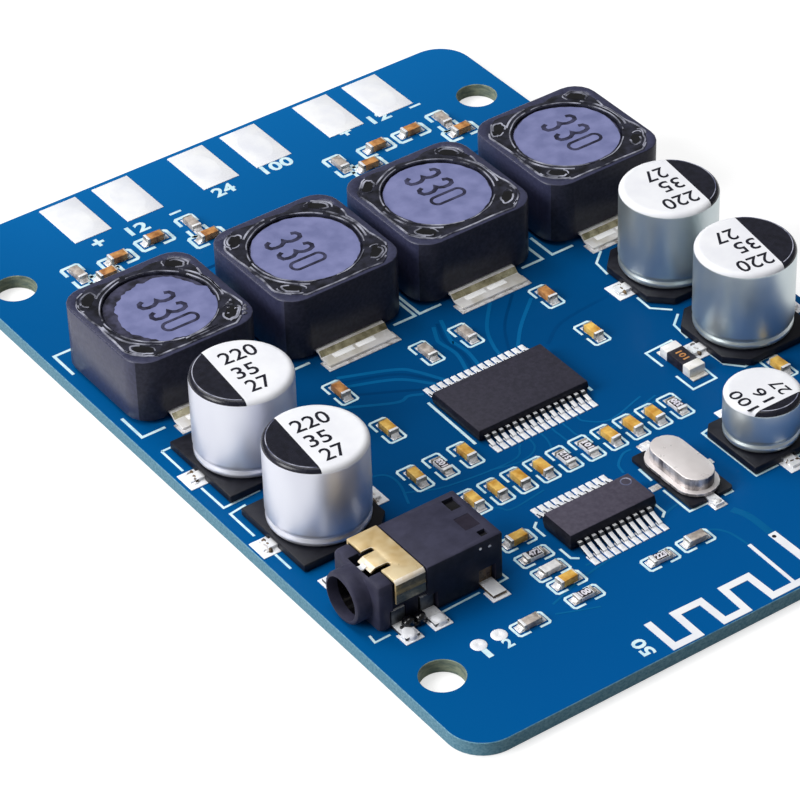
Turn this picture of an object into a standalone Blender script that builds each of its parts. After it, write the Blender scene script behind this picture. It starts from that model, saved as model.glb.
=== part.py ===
"""Stereo audio amplifier board: a bare circuit module with its soldered components.

The board lies flat with its underside on Z = 0 and its centre on the Z axis.  +X runs along the edge
with the printed antenna, +Y towards the six terminal pads, and the audio socket faces -X.
"""
import math

import bmesh
import bpy
from mathutils import Matrix, Vector

MM = 0.001

# Clearances between pieces that touch on the real board
SEAT_GAP = 0.10 * MM
FIT_GAP = 0.15 * MM
FUSE_DEPTH = 0.05 * MM
PART_SPACING = 0.10 * MM
EDGE_SPACING = 0.20 * MM

# Board
BOARD_WIDTH = 52.0 * MM
BOARD_LENGTH = 74.5 * MM
BOARD_THICKNESS = 1.2 * MM
BOARD_CORNER_RADIUS = 3.0 * MM
HOLE_DIAMETER = 3.4 * MM
HOLE_SIDE_MARGIN = 3.1 * MM
HOLE_FRONT_MARGIN = 7.9 * MM
HOLE_REAR_MARGIN = 8.5 * MM
PAD_HEIGHT = 0.06 * MM
TERMINAL_PAD_WIDTH = 3.5 * MM
TERMINAL_PAD_LENGTH = 5.7 * MM
TERMINAL_PAD_MARGIN = 0.5 * MM
ROUND_PAD_DIAMETER = 1.25 * MM

# The layout is drawn on a grid of this many steps from its middle, and spreads with the board
LAYOUT_GRID = (52.0, 74.0)
TERMINAL_PAD_X = (-14.1, -9.05, -1.6, 3.65, 11.05, 16.15)
ROUND_PADS = ((-18.95, -28.1), (-17.15, -28.1))

# Shielded power inductors: four of them and the clearances beside them fill the board's width
INDUCTORS = ((-19.1, 12.6), (-5.75, 12.25), (6.85, 12.05), (20.0, 12.25))
INDUCTOR_CLEARANCE = 1.2 * MM
SHIELD_WIDTH = (BOARD_WIDTH - (len(INDUCTORS) + 1) * INDUCTOR_CLEARANCE) / len(INDUCTORS)
SHIELD_CORNER_RADIUS = 2.0 * MM
SHIELD_BASE = 0.35 * MM
SHIELD_TOP = 5.9 * MM
SHIELD_EDGE_ROUND = 0.35 * MM
SHIELD_WALL = 0.8 * MM
SHIELD_BORE = SHIELD_WIDTH - 2 * SHIELD_WALL
POCKET_WIDTH = 1.3 * MM
POCKET_LENGTH = 2.2 * MM
POCKET_OFFSET = SHIELD_BORE / 2 + 0.5 * MM
POCKET_DEPTH = 1.2 * MM
DRUM_GAP = 0.45 * MM
DRUM_DIAMETER = SHIELD_BORE - 2 * DRUM_GAP
DRUM_WAIST = DRUM_DIAMETER * 0.47
DRUM_FLANGE = 1.0 * MM
DRUM_RECESS = 0.15 * MM
WINDING_RECESS = 0.55 * MM
CLIP_WIDTH = SHIELD_WIDTH * 0.55
CLIP_SHEET = 0.2 * MM
CLIP_REACH = 1.9 * MM
CLIP_GRIP = 1.0 * MM
CLIP_RISE = 0.6 * MM

# Surface-mount electrolytic capacitors
BIG_CAN_DIAMETER = 8.0 * MM
BIG_CAN_TOP = 8.15 * MM
SMALL_CAN_DIAMETER = 6.0 * MM
SMALL_CAN_TOP = 4.75 * MM
CAN_TOP_ROUND = 0.5 * MM
CAN_GROOVE_DEPTH = 0.2 * MM
CAN_GROOVE_HEIGHT = 0.75 * MM
BASE_OVERHANG = 0.15 * MM
BASE_THICKNESS = 0.65 * MM
BIG_BASE_CHAMFER = 1.6 * MM
SMALL_BASE_CHAMFER = 0.6 * MM
LEAD_WIDTH = 0.9 * MM
LEAD_SHEET = 0.2 * MM
LEAD_REACH = 1.1 * MM
LEAD_SPACING = 3.1 * MM
BIG_CAPACITORS = ((-20.1, -0.35, 0), (-20.2, -10.15, 0), (19.95, -0.95, 180), (19.65, -10.65, 180))
SMALL_CAPACITOR = (11.95, -22.1, 90)

# Amplifier chip and wireless chip, both with gull-wing leads
AMPLIFIER_PLACE = (-0.05, -6.7)
AMPLIFIER_LENGTH = 10.5 * MM
AMPLIFIER_WIDTH = 6.2 * MM
AMPLIFIER_TOP = 1.1 * MM
AMPLIFIER_SPAN = 9.3 * MM
AMPLIFIER_PITCH = 0.65 * MM
WIRELESS_PLACE = (-3.6, -22.3)
WIRELESS_LENGTH = 8.0 * MM
WIRELESS_WIDTH = 3.45 * MM
WIRELESS_TOP = 1.5 * MM
WIRELESS_SPAN = 7.5 * MM
WIRELESS_PITCH = 0.64 * MM
CHIP_LEAD_WIDTH = 0.3 * MM
CHIP_LEAD_SHEET = 0.15 * MM
CHIP_LEAD_ROOT = 0.4 * MM
CHIP_END_MARGIN = 0.5 * MM
CHIP_LEAD_BEND = 0.12 * MM
CHIP_FOOT = 0.8 * MM
CHIP_STANDOFF = 0.12 * MM
CHIP_DRAFT = 0.12 * MM
DIMPLE_DIAMETER = 0.9 * MM
DIMPLE_DEPTH = 0.1 * MM
DIMPLE_INSET = 1.1 * MM

# Stereo audio socket
JACK_SETBACK = 0.7 * MM
JACK_Y = -20.3
JACK_LENGTH = 12.1 * MM
JACK_WIDTH = 6.1 * MM
JACK_TOP = 4.35 * MM
JACK_STANDOFF = 0.1 * MM
JACK_EDGE_ROUND = 0.15 * MM
NOSE_LENGTH = 1.3 * MM
NOSE_DIAMETER = 4.2 * MM
NOSE_ROUND = 0.3 * MM
COLLAR_LENGTH = 1.4 * MM
COLLAR_WIDTH = 5.7 * MM
COLLAR_ROUND = 0.4 * MM
RECESS_WIDTH = 2.6 * MM
RECESS_DEPTH = 0.9 * MM
RECESS_SETBACK = 0.3 * MM
PLUG_BORE = 3.5 * MM
BORE_DEPTH = 11.2 * MM
JACK_CLIP_LENGTH = 2.6 * MM
JACK_CLIP_SHEET = 0.2 * MM
JACK_CLIP_DROP = 2.0 * MM
JACK_CLIP_PROUD = 0.05 * MM
CLIP_SLOT_WIDTH = 0.45 * MM
CLIP_SLOT_LENGTH = 0.75 * MM
CLIP_TONGUE = 1.6 * MM
TONGUE_REACH = 0.6 * MM
TONGUE_DROP = 0.25 * MM
FRONT_CONTACTS = (0.25, 0.46, 0.885)
REAR_CONTACTS = (0.165, 0.745)
CONTACT_WIDTH = 1.2 * MM
CONTACT_SHEET = 0.25 * MM
CONTACT_REACH = 1.5 * MM
CONTACT_HEIGHT = 1.6 * MM
CONTACT_SEAT = 0.45 * MM
WINDOW_DEPTH = 0.3 * MM

# Windows in the housing's top: start and end before its rear end in mm, and sides in half widths
JACK_WINDOWS = ((1.5, 0.5, 0.36, 0.79), (2.0, 0.7, -0.43, 0.07), (1.5, 0.8, -0.82, -0.62))

# Quartz crystal in a low metal can
CRYSTAL_PLACE = (4.45, -21.9)
CRYSTAL_FLANGE_LENGTH = 6.9 * MM
CRYSTAL_FLANGE_WIDTH = 3.6 * MM
CRYSTAL_FLANGE = 0.25 * MM
CRYSTAL_CAN_LENGTH = 6.1 * MM
CRYSTAL_CAN_WIDTH = 2.8 * MM
CRYSTAL_TOP = 1.75 * MM
CRYSTAL_EDGE_ROUND = 0.25 * MM
INSULATOR_LENGTH = 7.3 * MM
INSULATOR_WIDTH = 4.0 * MM
INSULATOR_CORNER_RADIUS = 0.3 * MM
INSULATOR_THICKNESS = 0.25 * MM
CRYSTAL_LEAD_WIDTH = 0.8 * MM
CRYSTAL_LEAD_REACH = 0.9 * MM
CRYSTAL_LEAD_INSET = 1.6 * MM

# Protection diode
DIODE_PLACE = (13.1, -11.3)
DIODE_LENGTH = 3.6 * MM
DIODE_WIDTH = 1.5 * MM
DIODE_HEIGHT = 0.75 * MM

# Small ceramic capacitors and resistors, 1.6 x 0.8 mm, soldered end to end on their pads
SMALL_CHIP_LENGTH = 1.6 * MM
SMALL_CHIP_WIDTH = 0.8 * MM
SMALL_CHIP_HEIGHT = 0.5 * MM
SOLDER_TOE = 0.45 * MM
END_CAP = 0.32 * MM
END_CAP_STEP = 0.04 * MM
CHIPS_ALONG_Y = (
    (-10.05, 1.6), (-1.8, 1.65), (2.0, 1.65), (10.1, 1.9), (-9.85, -4.4), (10.0, -4.1),
    (-11.55, -10.35), (-9.2, -10.35), (-6.9, -10.35),
    (-18.0, 26.9), (-6.9, 27.2), (7.6, 26.9), (18.3, 27.1), (18.75, -16.2))
CHIP_ROW_START = -9.8
CHIP_ROW_PITCH = 2.13
CHIP_ROW_COUNT = 10
CHIP_ROW_Y = -15.2
CHIPS_ALONG_X = (
    (-9.9, -20.6), (-9.95, -22.75), (-9.95, -24.7), (-9.8, -26.45), (-9.75, -28.45), (-14.7, -28.5),
    (-2.85, -28.5), (0.5, -28.4),
    (-16.2, 25.4), (-14.3, 26.8), (-10.5, 27.3), (-6.75, 25.0),
    (9.4, 25.3), (11.5, 27.2), (15.1, 27.3), (18.6, 24.9))

CIRCLE_STEPS = 28
CORNER_STEPS = 5
SETTLING_STEPS = 400


def clear_scene():
    """Remove whatever the file opened with."""
    for item in list(bpy.data.objects):
        bpy.data.objects.remove(item, do_unlink=True)


def new_collection(name):
    collection = bpy.data.collections.new(name)
    bpy.context.scene.collection.children.link(collection)
    return collection


clear_scene()
PARTS = new_collection("audio_amplifier_board")
CUTTERS = new_collection("cutters")


def material(name, colour, roughness, metallic=0.0):
    """One Principled material, made once and shared by like pieces."""
    found = bpy.data.materials.get(name)
    if found:
        return found
    made = bpy.data.materials.new(name)
    made.use_nodes = True
    shader = made.node_tree.nodes["Principled BSDF"]
    shader.inputs["Base Color"].default_value = (*colour, 1.0)
    shader.inputs["Roughness"].default_value = roughness
    shader.inputs["Metallic"].default_value = metallic
    made.diffuse_color = (*colour, 1.0)
    return made


def solder_mask():
    return material("blue_solder_mask", (0.005, 0.1, 0.33), 0.35)


def ferrite():
    return material("charcoal_ferrite", (0.035, 0.033, 0.045), 0.5)


def copper():
    return material("enamelled_copper", (0.55, 0.22, 0.09), 0.35, 1.0)


def tinned_metal():
    return material("tinned_metal", (0.75, 0.75, 0.76), 0.3, 1.0)


def aluminium():
    return material("satin_aluminium", (0.8, 0.81, 0.84), 0.32, 1.0)


def black_plastic():
    return material("black_plastic", (0.012, 0.012, 0.016), 0.45)


def epoxy():
    return material("moulding_epoxy", (0.028, 0.027, 0.036), 0.55)


def gilt_metal():
    return material("gilt_spring_metal", (0.8, 0.62, 0.36), 0.3, 1.0)


def nickel():
    return material("nickel_plate", (0.78, 0.73, 0.72), 0.28, 1.0)


def finish(item, surface, parent=None, smooth=True):
    """Give a piece its material and its parent, and shade it."""
    item.data.materials.clear()
    item.data.materials.append(surface)
    if parent:
        item.parent = parent
    if smooth:
        item.data.shade_smooth()
        item.data.set_sharp_from_angle(angle=math.radians(35))
    return item


def mesh_object(name, mesh_data, collection=None):
    """Write a bmesh to a new object and free it."""
    mesh = bpy.data.meshes.new(name)
    bmesh.ops.recalc_face_normals(mesh_data, faces=mesh_data.faces)
    mesh_data.to_mesh(mesh)
    mesh_data.free()
    item = bpy.data.objects.new(name, mesh)
    (collection or PARTS).objects.link(item)
    return item


def add_box(mesh_data, low, high):
    """Add a closed box between two corners to a bmesh."""
    low = Vector(low)
    high = Vector(high)
    corners = bmesh.ops.create_cube(mesh_data, size=1.0)["verts"]
    bmesh.ops.scale(mesh_data, vec=high - low, verts=corners)
    bmesh.ops.translate(mesh_data, vec=(low + high) / 2, verts=corners)
    return corners


def box(name, low, high, collection=None):
    mesh_data = bmesh.new()
    add_box(mesh_data, low, high)
    return mesh_object(name, mesh_data, collection)


def cylinder(name, diameter, low, high, collection=None, steps=CIRCLE_STEPS):
    """A closed cylinder between two points."""
    low = Vector(low)
    high = Vector(high)
    mesh_data = bmesh.new()
    turn = Vector((0, 0, 1)).rotation_difference(high - low).to_matrix().to_4x4()
    bmesh.ops.create_cone(mesh_data, cap_ends=True, segments=steps, radius1=diameter / 2,
                          radius2=diameter / 2, depth=(high - low).length,
                          matrix=Matrix.Translation((low + high) / 2) @ turn)
    return mesh_object(name, mesh_data, collection)


def rounded_outline(width, length, radius):
    """Points of a rectangle with round corners, counterclockwise."""
    points = []
    for corner in range(4):
        start = corner * math.pi / 2
        centre_x = math.copysign(width / 2 - radius, math.cos(start + math.pi / 4))
        centre_y = math.copysign(length / 2 - radius, math.sin(start + math.pi / 4))
        for step in range(CORNER_STEPS + 1):
            angle = start + step / CORNER_STEPS * math.pi / 2
            points.append((centre_x + radius * math.cos(angle), centre_y + radius * math.sin(angle)))
    return points


def stadium_outline(width, length, steps=CORNER_STEPS):
    """Points of a slot shape with round ends, long along Y."""
    points = []
    for end in (0, 1):
        for step in range(2 * steps + 1):
            angle = math.pi * (end + step / (2 * steps))
            shift = (length - width) / 2 * (1 if end == 0 else -1)
            points.append((width / 2 * math.cos(angle), shift + width / 2 * math.sin(angle)))
    return points


def plate(name, outline, base, top, collection=None):
    """A flat outline raised from one height to another, as a welded mesh."""
    curve = bpy.data.curves.new(name, "CURVE")
    curve.dimensions = "2D"
    curve.fill_mode = "BOTH"
    curve.extrude = (top - base) / 2
    spline = curve.splines.new("POLY")
    spline.points.add(len(outline) - 1)
    for point, (x, y) in zip(spline.points, outline):
        point.co = (x, y, 0, 1)
    spline.use_cyclic_u = True
    guide = bpy.data.objects.new(name + "_outline", curve)
    CUTTERS.objects.link(guide)
    bpy.context.view_layer.update()
    mesh = bpy.data.meshes.new_from_object(guide.evaluated_get(bpy.context.evaluated_depsgraph_get()))
    bpy.data.objects.remove(guide, do_unlink=True)
    mesh_data = bmesh.new()
    mesh_data.from_mesh(mesh)
    bpy.data.meshes.remove(mesh)
    bmesh.ops.remove_doubles(mesh_data, verts=mesh_data.verts, dist=0.002 * MM)
    bmesh.ops.translate(mesh_data, vec=(0, 0, (top + base) / 2), verts=mesh_data.verts)
    return mesh_object(name, mesh_data, collection)


def turned(name, profile, closed=False, steps=CIRCLE_STEPS):
    """Spin a profile of (radius, height) points, running down its outer side, about Z."""
    mesh = bpy.data.meshes.new(name)
    edges = [(i, i + 1) for i in range(len(profile) - 1)]
    if closed:
        edges.append((len(profile) - 1, 0))
    mesh.from_pydata([(radius, 0, height) for radius, height in profile], edges, [])
    item = bpy.data.objects.new(name, mesh)
    PARTS.objects.link(item)
    screw = item.modifiers.new("turn", "SCREW")
    screw.axis = "Z"
    screw.steps = steps
    screw.render_steps = steps
    screw.use_merge_vertices = True
    screw.merge_threshold = 0.002 * MM
    screw.use_smooth_shade = True
    return item


def sheet_path(mesh_data, path, width, offset=(0, 0, 0), turn=0):
    """Add an open strip of sheet that follows a path of (reach, height) points."""
    place = Matrix.Translation(offset) @ Matrix.Rotation(turn, 4, "Z")
    rows = []
    for reach, height in path:
        rows.append([mesh_data.verts.new(place @ Vector((reach, side * width / 2, height)))
                     for side in (-1, 1)])
    for first, second in zip(rows, rows[1:]):
        mesh_data.faces.new((first[0], second[0], second[1], first[1]))


def thicken(item, thickness):
    """Turn open sheet into solid metal, evenly about its middle."""
    wall = item.modifiers.new("sheet", "SOLIDIFY")
    wall.thickness = thickness
    wall.offset = 0
    wall.use_even_offset = True
    return item


def bent_strip(name, path, width, thickness, surface, parent, offset=(0, 0, 0), turn=0):
    """One bent sheet-metal piece."""
    mesh_data = bmesh.new()
    sheet_path(mesh_data, path, width, offset, turn)
    item = mesh_object(name, mesh_data)
    thicken(item, thickness)
    return finish(item, surface, parent, smooth=False)


def combine(item, other, operation):
    """Cut or join with a hidden object that follows the same parent."""
    if other.name not in CUTTERS.objects:
        for home in list(other.users_collection):
            home.objects.unlink(other)
        CUTTERS.objects.link(other)
    other.hide_render = True
    other.display_type = "WIRE"
    other.parent = item.parent
    change = item.modifiers.new(operation.lower(), "BOOLEAN")
    change.operation = operation
    change.solver = "EXACT"
    change.object = other
    return item


def cut(item, other):
    return combine(item, other, "DIFFERENCE")


def join(item, other):
    return combine(item, other, "UNION")


def round_edges(item, width, segments=2, angle=40):
    bevel = item.modifiers.new("round", "BEVEL")
    bevel.width = width
    bevel.segments = segments
    bevel.limit_method = "ANGLE"
    bevel.angle_limit = math.radians(angle)
    return item


def on_board(x, y):
    """Board position of a point on the layout's grid."""
    return x * BOARD_WIDTH / LAYOUT_GRID[0], y * BOARD_LENGTH / LAYOUT_GRID[1]


class Footprint:
    """Where a piece stands on the board, and half the room that it takes each way with its leads."""

    def __init__(self, x, y, half_x, half_y, slides=(True, True), turn=0):
        self.at = [x, y]
        self.half = (half_x, half_y)
        self.slides = slides
        self.turn = turn

    def push(self, way, distance):
        if self.slides[way]:
            self.at[way] += distance
            edge = (BOARD_WIDTH, BOARD_LENGTH)[way] / 2 - EDGE_SPACING - self.half[way]
            self.at[way] = max(-edge, min(edge, self.at[way]))


def push_apart(first, second):
    """Part two pieces that take the same room, the shorter way, and move the smaller one more."""
    lack = [first.half[way] + second.half[way] + PART_SPACING - abs(second.at[way] - first.at[way])
            for way in (0, 1)]
    if min(lack) <= 0:
        return False
    ways = [way for way in (0, 1) if first.slides[way] or second.slides[way]]
    if not ways:
        return False
    way = min(ways, key=lambda which: lack[which])
    room_first = first.half[0] * first.half[1]
    share = room_first / (room_first + second.half[0] * second.half[1])
    if not first.slides[way]:
        share = 1
    if not second.slides[way]:
        share = 0
    side = 1 if second.at[way] >= first.at[way] else -1
    first.push(way, -side * lack[way] * (1 - share))
    second.push(way, side * lack[way] * share)
    return True


def settle(places):
    """Push pieces apart until none touch; on a roomy board nothing moves."""
    for _ in range(SETTLING_STEPS):
        moved = False
        for index, first in enumerate(places):
            for second in places[index + 1:]:
                moved = push_apart(first, second) or moved
        if not moved:
            return


def small_chip_spots():
    """Layout points of the small chips, with the turn of each."""
    spots = [(x, y, 90) for x, y in CHIPS_ALONG_Y]
    spots += [(x, y, 0) for x, y in CHIPS_ALONG_X]
    spots += [(CHIP_ROW_START + i * CHIP_ROW_PITCH, CHIP_ROW_Y, 90) for i in range(CHIP_ROW_COUNT)]
    return spots


def lay_out():
    """Room for every piece on the board: a list of footprints for each kind, all clear of each other."""
    layout = {}
    side = BOARD_WIDTH / 2 - HOLE_SIDE_MARGIN
    ends = (BOARD_LENGTH / 2 - HOLE_REAR_MARGIN, -BOARD_LENGTH / 2 + HOLE_FRONT_MARGIN)
    layout["holes"] = [Footprint(x, y, HOLE_DIAMETER / 2, HOLE_DIAMETER / 2, (False, False))
                       for x in (-side, side) for y in ends]
    jack_x = -BOARD_WIDTH / 2 + JACK_SETBACK + JACK_LENGTH / 2
    layout["jack"] = [Footprint(jack_x, on_board(0, JACK_Y)[1], JACK_LENGTH / 2,
                                JACK_WIDTH / 2 + CONTACT_REACH, (False, True))]
    half = SHIELD_WIDTH / 2
    layout["inductors"] = [Footprint(*on_board(*spot), half, half + CLIP_REACH) for spot in INDUCTORS]
    half = BIG_CAN_DIAMETER / 2 + BASE_OVERHANG
    layout["big_capacitors"] = [Footprint(*on_board(x, y), half + LEAD_REACH, half, turn=turn)
                                for x, y, turn in BIG_CAPACITORS]
    half = SMALL_CAN_DIAMETER / 2 + BASE_OVERHANG
    x, y, turn = SMALL_CAPACITOR
    layout["small_capacitor"] = [Footprint(*on_board(x, y), half, half + LEAD_REACH, turn=turn)]
    layout["amplifier_chip"] = [Footprint(*on_board(*AMPLIFIER_PLACE), AMPLIFIER_LENGTH / 2,
                                          AMPLIFIER_SPAN / 2)]
    layout["wireless_chip"] = [Footprint(*on_board(*WIRELESS_PLACE), WIRELESS_LENGTH / 2,
                                         WIRELESS_SPAN / 2)]
    layout["crystal"] = [Footprint(*on_board(*CRYSTAL_PLACE), INSULATOR_WIDTH / 2,
                                   INSULATOR_LENGTH / 2 + CRYSTAL_LEAD_REACH)]
    layout["diode"] = [Footprint(*on_board(*DIODE_PLACE), DIODE_WIDTH / 2,
                                 DIODE_LENGTH / 2 + SOLDER_TOE, turn=90)]
    rear = BOARD_LENGTH / 2 - TERMINAL_PAD_MARGIN - TERMINAL_PAD_LENGTH / 2
    layout["terminal_pads"] = [Footprint(on_board(x, 0)[0], rear, TERMINAL_PAD_WIDTH / 2,
                                         TERMINAL_PAD_LENGTH / 2, (True, False)) for x in TERMINAL_PAD_X]
    layout["round_pads"] = [Footprint(*on_board(*spot), ROUND_PAD_DIAMETER / 2, ROUND_PAD_DIAMETER / 2)
                            for spot in ROUND_PADS]
    reach = SMALL_CHIP_LENGTH / 2 + SOLDER_TOE
    half = SMALL_CHIP_WIDTH / 2
    layout["small_chips"] = [Footprint(*on_board(x, y), half if turn else reach, reach if turn else half,
                                       turn=turn)
                             for x, y, turn in small_chip_spots()]
    settle([place for places in layout.values() for place in places])
    return layout


def station(name, x, y, turn=0):
    """An empty on the board's top face that carries one component."""
    carrier = bpy.data.objects.new(name, None)
    carrier.empty_display_size = 2 * MM
    carrier.location = (x, y, BOARD_THICKNESS)
    carrier.rotation_euler = (0, 0, math.radians(turn))
    PARTS.objects.link(carrier)
    return carrier


def chip_profile(length, height):
    """Side view of a soldered chip: toe fillets, end caps and a slightly lower body."""
    half = length / 2
    return ((-half - SOLDER_TOE, 0), (-half - SOLDER_TOE, PAD_HEIGHT),
            (-half - SOLDER_TOE / 3, height * 0.35), (-half, height * 0.85),
            (-half + END_CAP / 3, height), (-half + END_CAP, height),
            (-half + END_CAP, height - END_CAP_STEP), (half - END_CAP, height - END_CAP_STEP),
            (half - END_CAP, height), (half - END_CAP / 3, height), (half, height * 0.85),
            (half + SOLDER_TOE / 3, height * 0.35), (half + SOLDER_TOE, PAD_HEIGHT), (half + SOLDER_TOE, 0))


def add_chip(mesh_data, x, y, base, length, width, height, turn):
    """Add one soldered chip, long along X before its turn, as a closed prism."""
    place = Matrix.Translation((x, y, base)) @ Matrix.Rotation(math.radians(turn), 4, "Z")
    outline = [(-length / 2 - SOLDER_TOE, -FUSE_DEPTH), *chip_profile(length, height)[1:-1],
               (length / 2 + SOLDER_TOE, -FUSE_DEPTH)]
    side = [mesh_data.verts.new((reach, -width / 2, rise)) for reach, rise in outline]
    face = mesh_data.faces.new(side)
    grown = bmesh.ops.extrude_face_region(mesh_data, geom=[face])["geom"]
    far = [element for element in grown if isinstance(element, bmesh.types.BMVert)]
    bmesh.ops.translate(mesh_data, vec=(0, width, 0), verts=far)
    bmesh.ops.transform(mesh_data, matrix=place, verts=side + far)


def small_chips(places):
    """All like chips in one mesh, ready to be fused to the board."""
    mesh_data = bmesh.new()
    for place in places:
        add_chip(mesh_data, *place.at, BOARD_THICKNESS, SMALL_CHIP_LENGTH, SMALL_CHIP_WIDTH,
                 SMALL_CHIP_HEIGHT, place.turn)
    return mesh_object("small_chips", mesh_data, CUTTERS)


def raised_pads(terminal_places, round_places):
    """Terminal pads along the rear edge and the two round pads by the socket."""
    mesh_data = bmesh.new()
    low = BOARD_THICKNESS - FUSE_DEPTH
    high = BOARD_THICKNESS + PAD_HEIGHT
    for place in terminal_places:
        x, y = place.at
        add_box(mesh_data, (x - TERMINAL_PAD_WIDTH / 2, y - TERMINAL_PAD_LENGTH / 2, low),
                (x + TERMINAL_PAD_WIDTH / 2, y + TERMINAL_PAD_LENGTH / 2, high))
    for place in round_places:
        bmesh.ops.create_cone(mesh_data, cap_ends=True, segments=16, radius1=ROUND_PAD_DIAMETER / 2,
                              radius2=ROUND_PAD_DIAMETER / 2, depth=high - low,
                              matrix=Matrix.Translation((*place.at, (low + high) / 2)))
    return mesh_object("raised_pads", mesh_data, CUTTERS)


def build_board(layout):
    board = plate("circuit_board", rounded_outline(BOARD_WIDTH, BOARD_LENGTH, BOARD_CORNER_RADIUS),
                  0, BOARD_THICKNESS)
    finish(board, solder_mask(), smooth=False)
    for hole in layout["holes"]:
        cut(board, cylinder("mounting_hole", HOLE_DIAMETER, (*hole.at, -BOARD_THICKNESS),
                            (*hole.at, 2 * BOARD_THICKNESS), CUTTERS))
    join(board, raised_pads(layout["terminal_pads"], layout["round_pads"]))
    join(board, small_chips(layout["small_chips"]))
    return board


def build_inductor(number, x, y):
    """Drum core and winding inside a square shield, on two bent sheet terminals."""
    name = "inductor_%d" % number
    carrier = station(name, x, y)
    half = SHIELD_WIDTH / 2

    shield = plate(name + "_shield", rounded_outline(SHIELD_WIDTH, SHIELD_WIDTH, SHIELD_CORNER_RADIUS),
                   SHIELD_BASE, SHIELD_TOP)
    finish(shield, ferrite(), carrier)
    round_edges(shield, SHIELD_EDGE_ROUND)
    cut(shield, cylinder(name + "_bore", SHIELD_BORE, (0, 0, 0), (0, 0, SHIELD_TOP + MM), CUTTERS))
    for corner in range(4):
        turn = Matrix.Rotation(math.pi / 4 + corner * math.pi / 2, 2)
        outline = [turn @ Vector((POCKET_OFFSET + x, y))
                   for x, y in stadium_outline(POCKET_WIDTH, POCKET_LENGTH, 3)]
        cut(shield, plate(name + "_pocket", outline, SHIELD_TOP - POCKET_DEPTH, SHIELD_TOP + MM, CUTTERS))
    notch = CLIP_WIDTH / 2 + FIT_GAP
    cut(shield, box(name + "_notch", (-notch, -half - MM, 0),
                    (notch, half + MM, CLIP_RISE + CLIP_SHEET / 2 + FIT_GAP), CUTTERS))

    top = SHIELD_TOP - DRUM_RECESS
    bottom = CLIP_RISE + CLIP_SHEET / 2 + FIT_GAP
    rim = DRUM_DIAMETER / 2
    waist = DRUM_WAIST / 2
    drum = turned(name + "_drum", (
        (0, top), (rim - 0.15 * MM, top), (rim, top - 0.15 * MM), (rim, top - DRUM_FLANGE),
        (waist, top - DRUM_FLANGE), (waist, bottom + DRUM_FLANGE), (rim, bottom + DRUM_FLANGE),
        (rim, bottom), (0, bottom)))
    finish(drum, ferrite(), carrier)

    inner = waist + FIT_GAP
    outer = rim - WINDING_RECESS
    coil_top = top - DRUM_FLANGE - FIT_GAP
    coil_base = bottom + DRUM_FLANGE + FIT_GAP
    winding = turned(name + "_winding", ((inner, coil_top), (outer, coil_top), (outer, coil_base),
                                         (inner, coil_base)), closed=True)
    finish(winding, copper(), carrier)

    foot = SEAT_GAP + CLIP_SHEET / 2
    path = ((half - CLIP_GRIP, CLIP_RISE), (half + 0.25 * MM, CLIP_RISE),
            (half + 0.7 * MM, foot), (half + CLIP_REACH, foot))
    for side, turn in (("front", -math.pi / 2), ("rear", math.pi / 2)):
        bent_strip(name + "_terminal_" + side, path, CLIP_WIDTH, CLIP_SHEET, tinned_metal(), carrier,
                   turn=turn)


def can_profile(radius, base, top):
    """Outer line of a drawn can with a rounded shoulder, a rolled groove and a curled foot."""
    points = [(0, top)]
    for step in range(4):
        angle = math.radians(90 - 30 * step)
        points.append((radius - CAN_TOP_ROUND + CAN_TOP_ROUND * math.cos(angle),
                       top - CAN_TOP_ROUND + CAN_TOP_ROUND * math.sin(angle)))
    middle = base + CAN_GROOVE_HEIGHT
    lip = CAN_GROOVE_DEPTH
    points += [(radius, middle + lip), (radius - lip, middle), (radius - lip / 3, middle - lip),
               (radius - lip / 3, base + lip / 2), (radius - lip, base), (0, base)]
    return points


def build_capacitor(number, place, diameter, top, chamfer):
    """An aluminium can on its plastic base, with two flat leads bent outwards."""
    name = "capacitor_%d" % number
    carrier = station(name, *place.at, place.turn)
    base_top = SEAT_GAP + BASE_THICKNESS
    half = diameter / 2 + BASE_OVERHANG

    can = turned(name + "_can", can_profile(diameter / 2, base_top + SEAT_GAP, top))
    finish(can, aluminium(), carrier)

    corner = half - chamfer
    outline = ((half, -corner), (half, corner), (corner, half), (-half, half), (-half, -half),
               (corner, -half))
    base = plate(name + "_base", outline, SEAT_GAP, base_top)
    finish(base, black_plastic(), carrier, smooth=False)

    foot = SEAT_GAP + LEAD_SHEET / 2
    inner = LEAD_SPACING / 2 * diameter / BIG_CAN_DIAMETER
    slot = LEAD_WIDTH / 2 + FIT_GAP
    slot_top = foot + LEAD_SHEET / 2 + FIT_GAP
    slot_edge = inner - LEAD_SHEET / 2 - FIT_GAP
    path = ((inner, base_top - FIT_GAP), (inner, foot), (half + LEAD_REACH, foot))
    for side, angle in (("positive", 0), ("negative", math.pi)):
        way = math.cos(angle)
        low, high = sorted((way * slot_edge, way * (half + MM)))
        cut(base, box(name + "_channel", (low, -slot, 0), (high, slot, slot_top), CUTTERS))
        low, high = sorted((way * slot_edge, way * (inner + LEAD_SHEET / 2 + FIT_GAP)))
        cut(base, box(name + "_lead_hole", (low, -slot, 0), (high, slot, base_top + MM), CUTTERS))
        bent_strip(name + "_lead_" + side, path, LEAD_WIDTH, LEAD_SHEET, tinned_metal(), carrier,
                   turn=angle)


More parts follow.
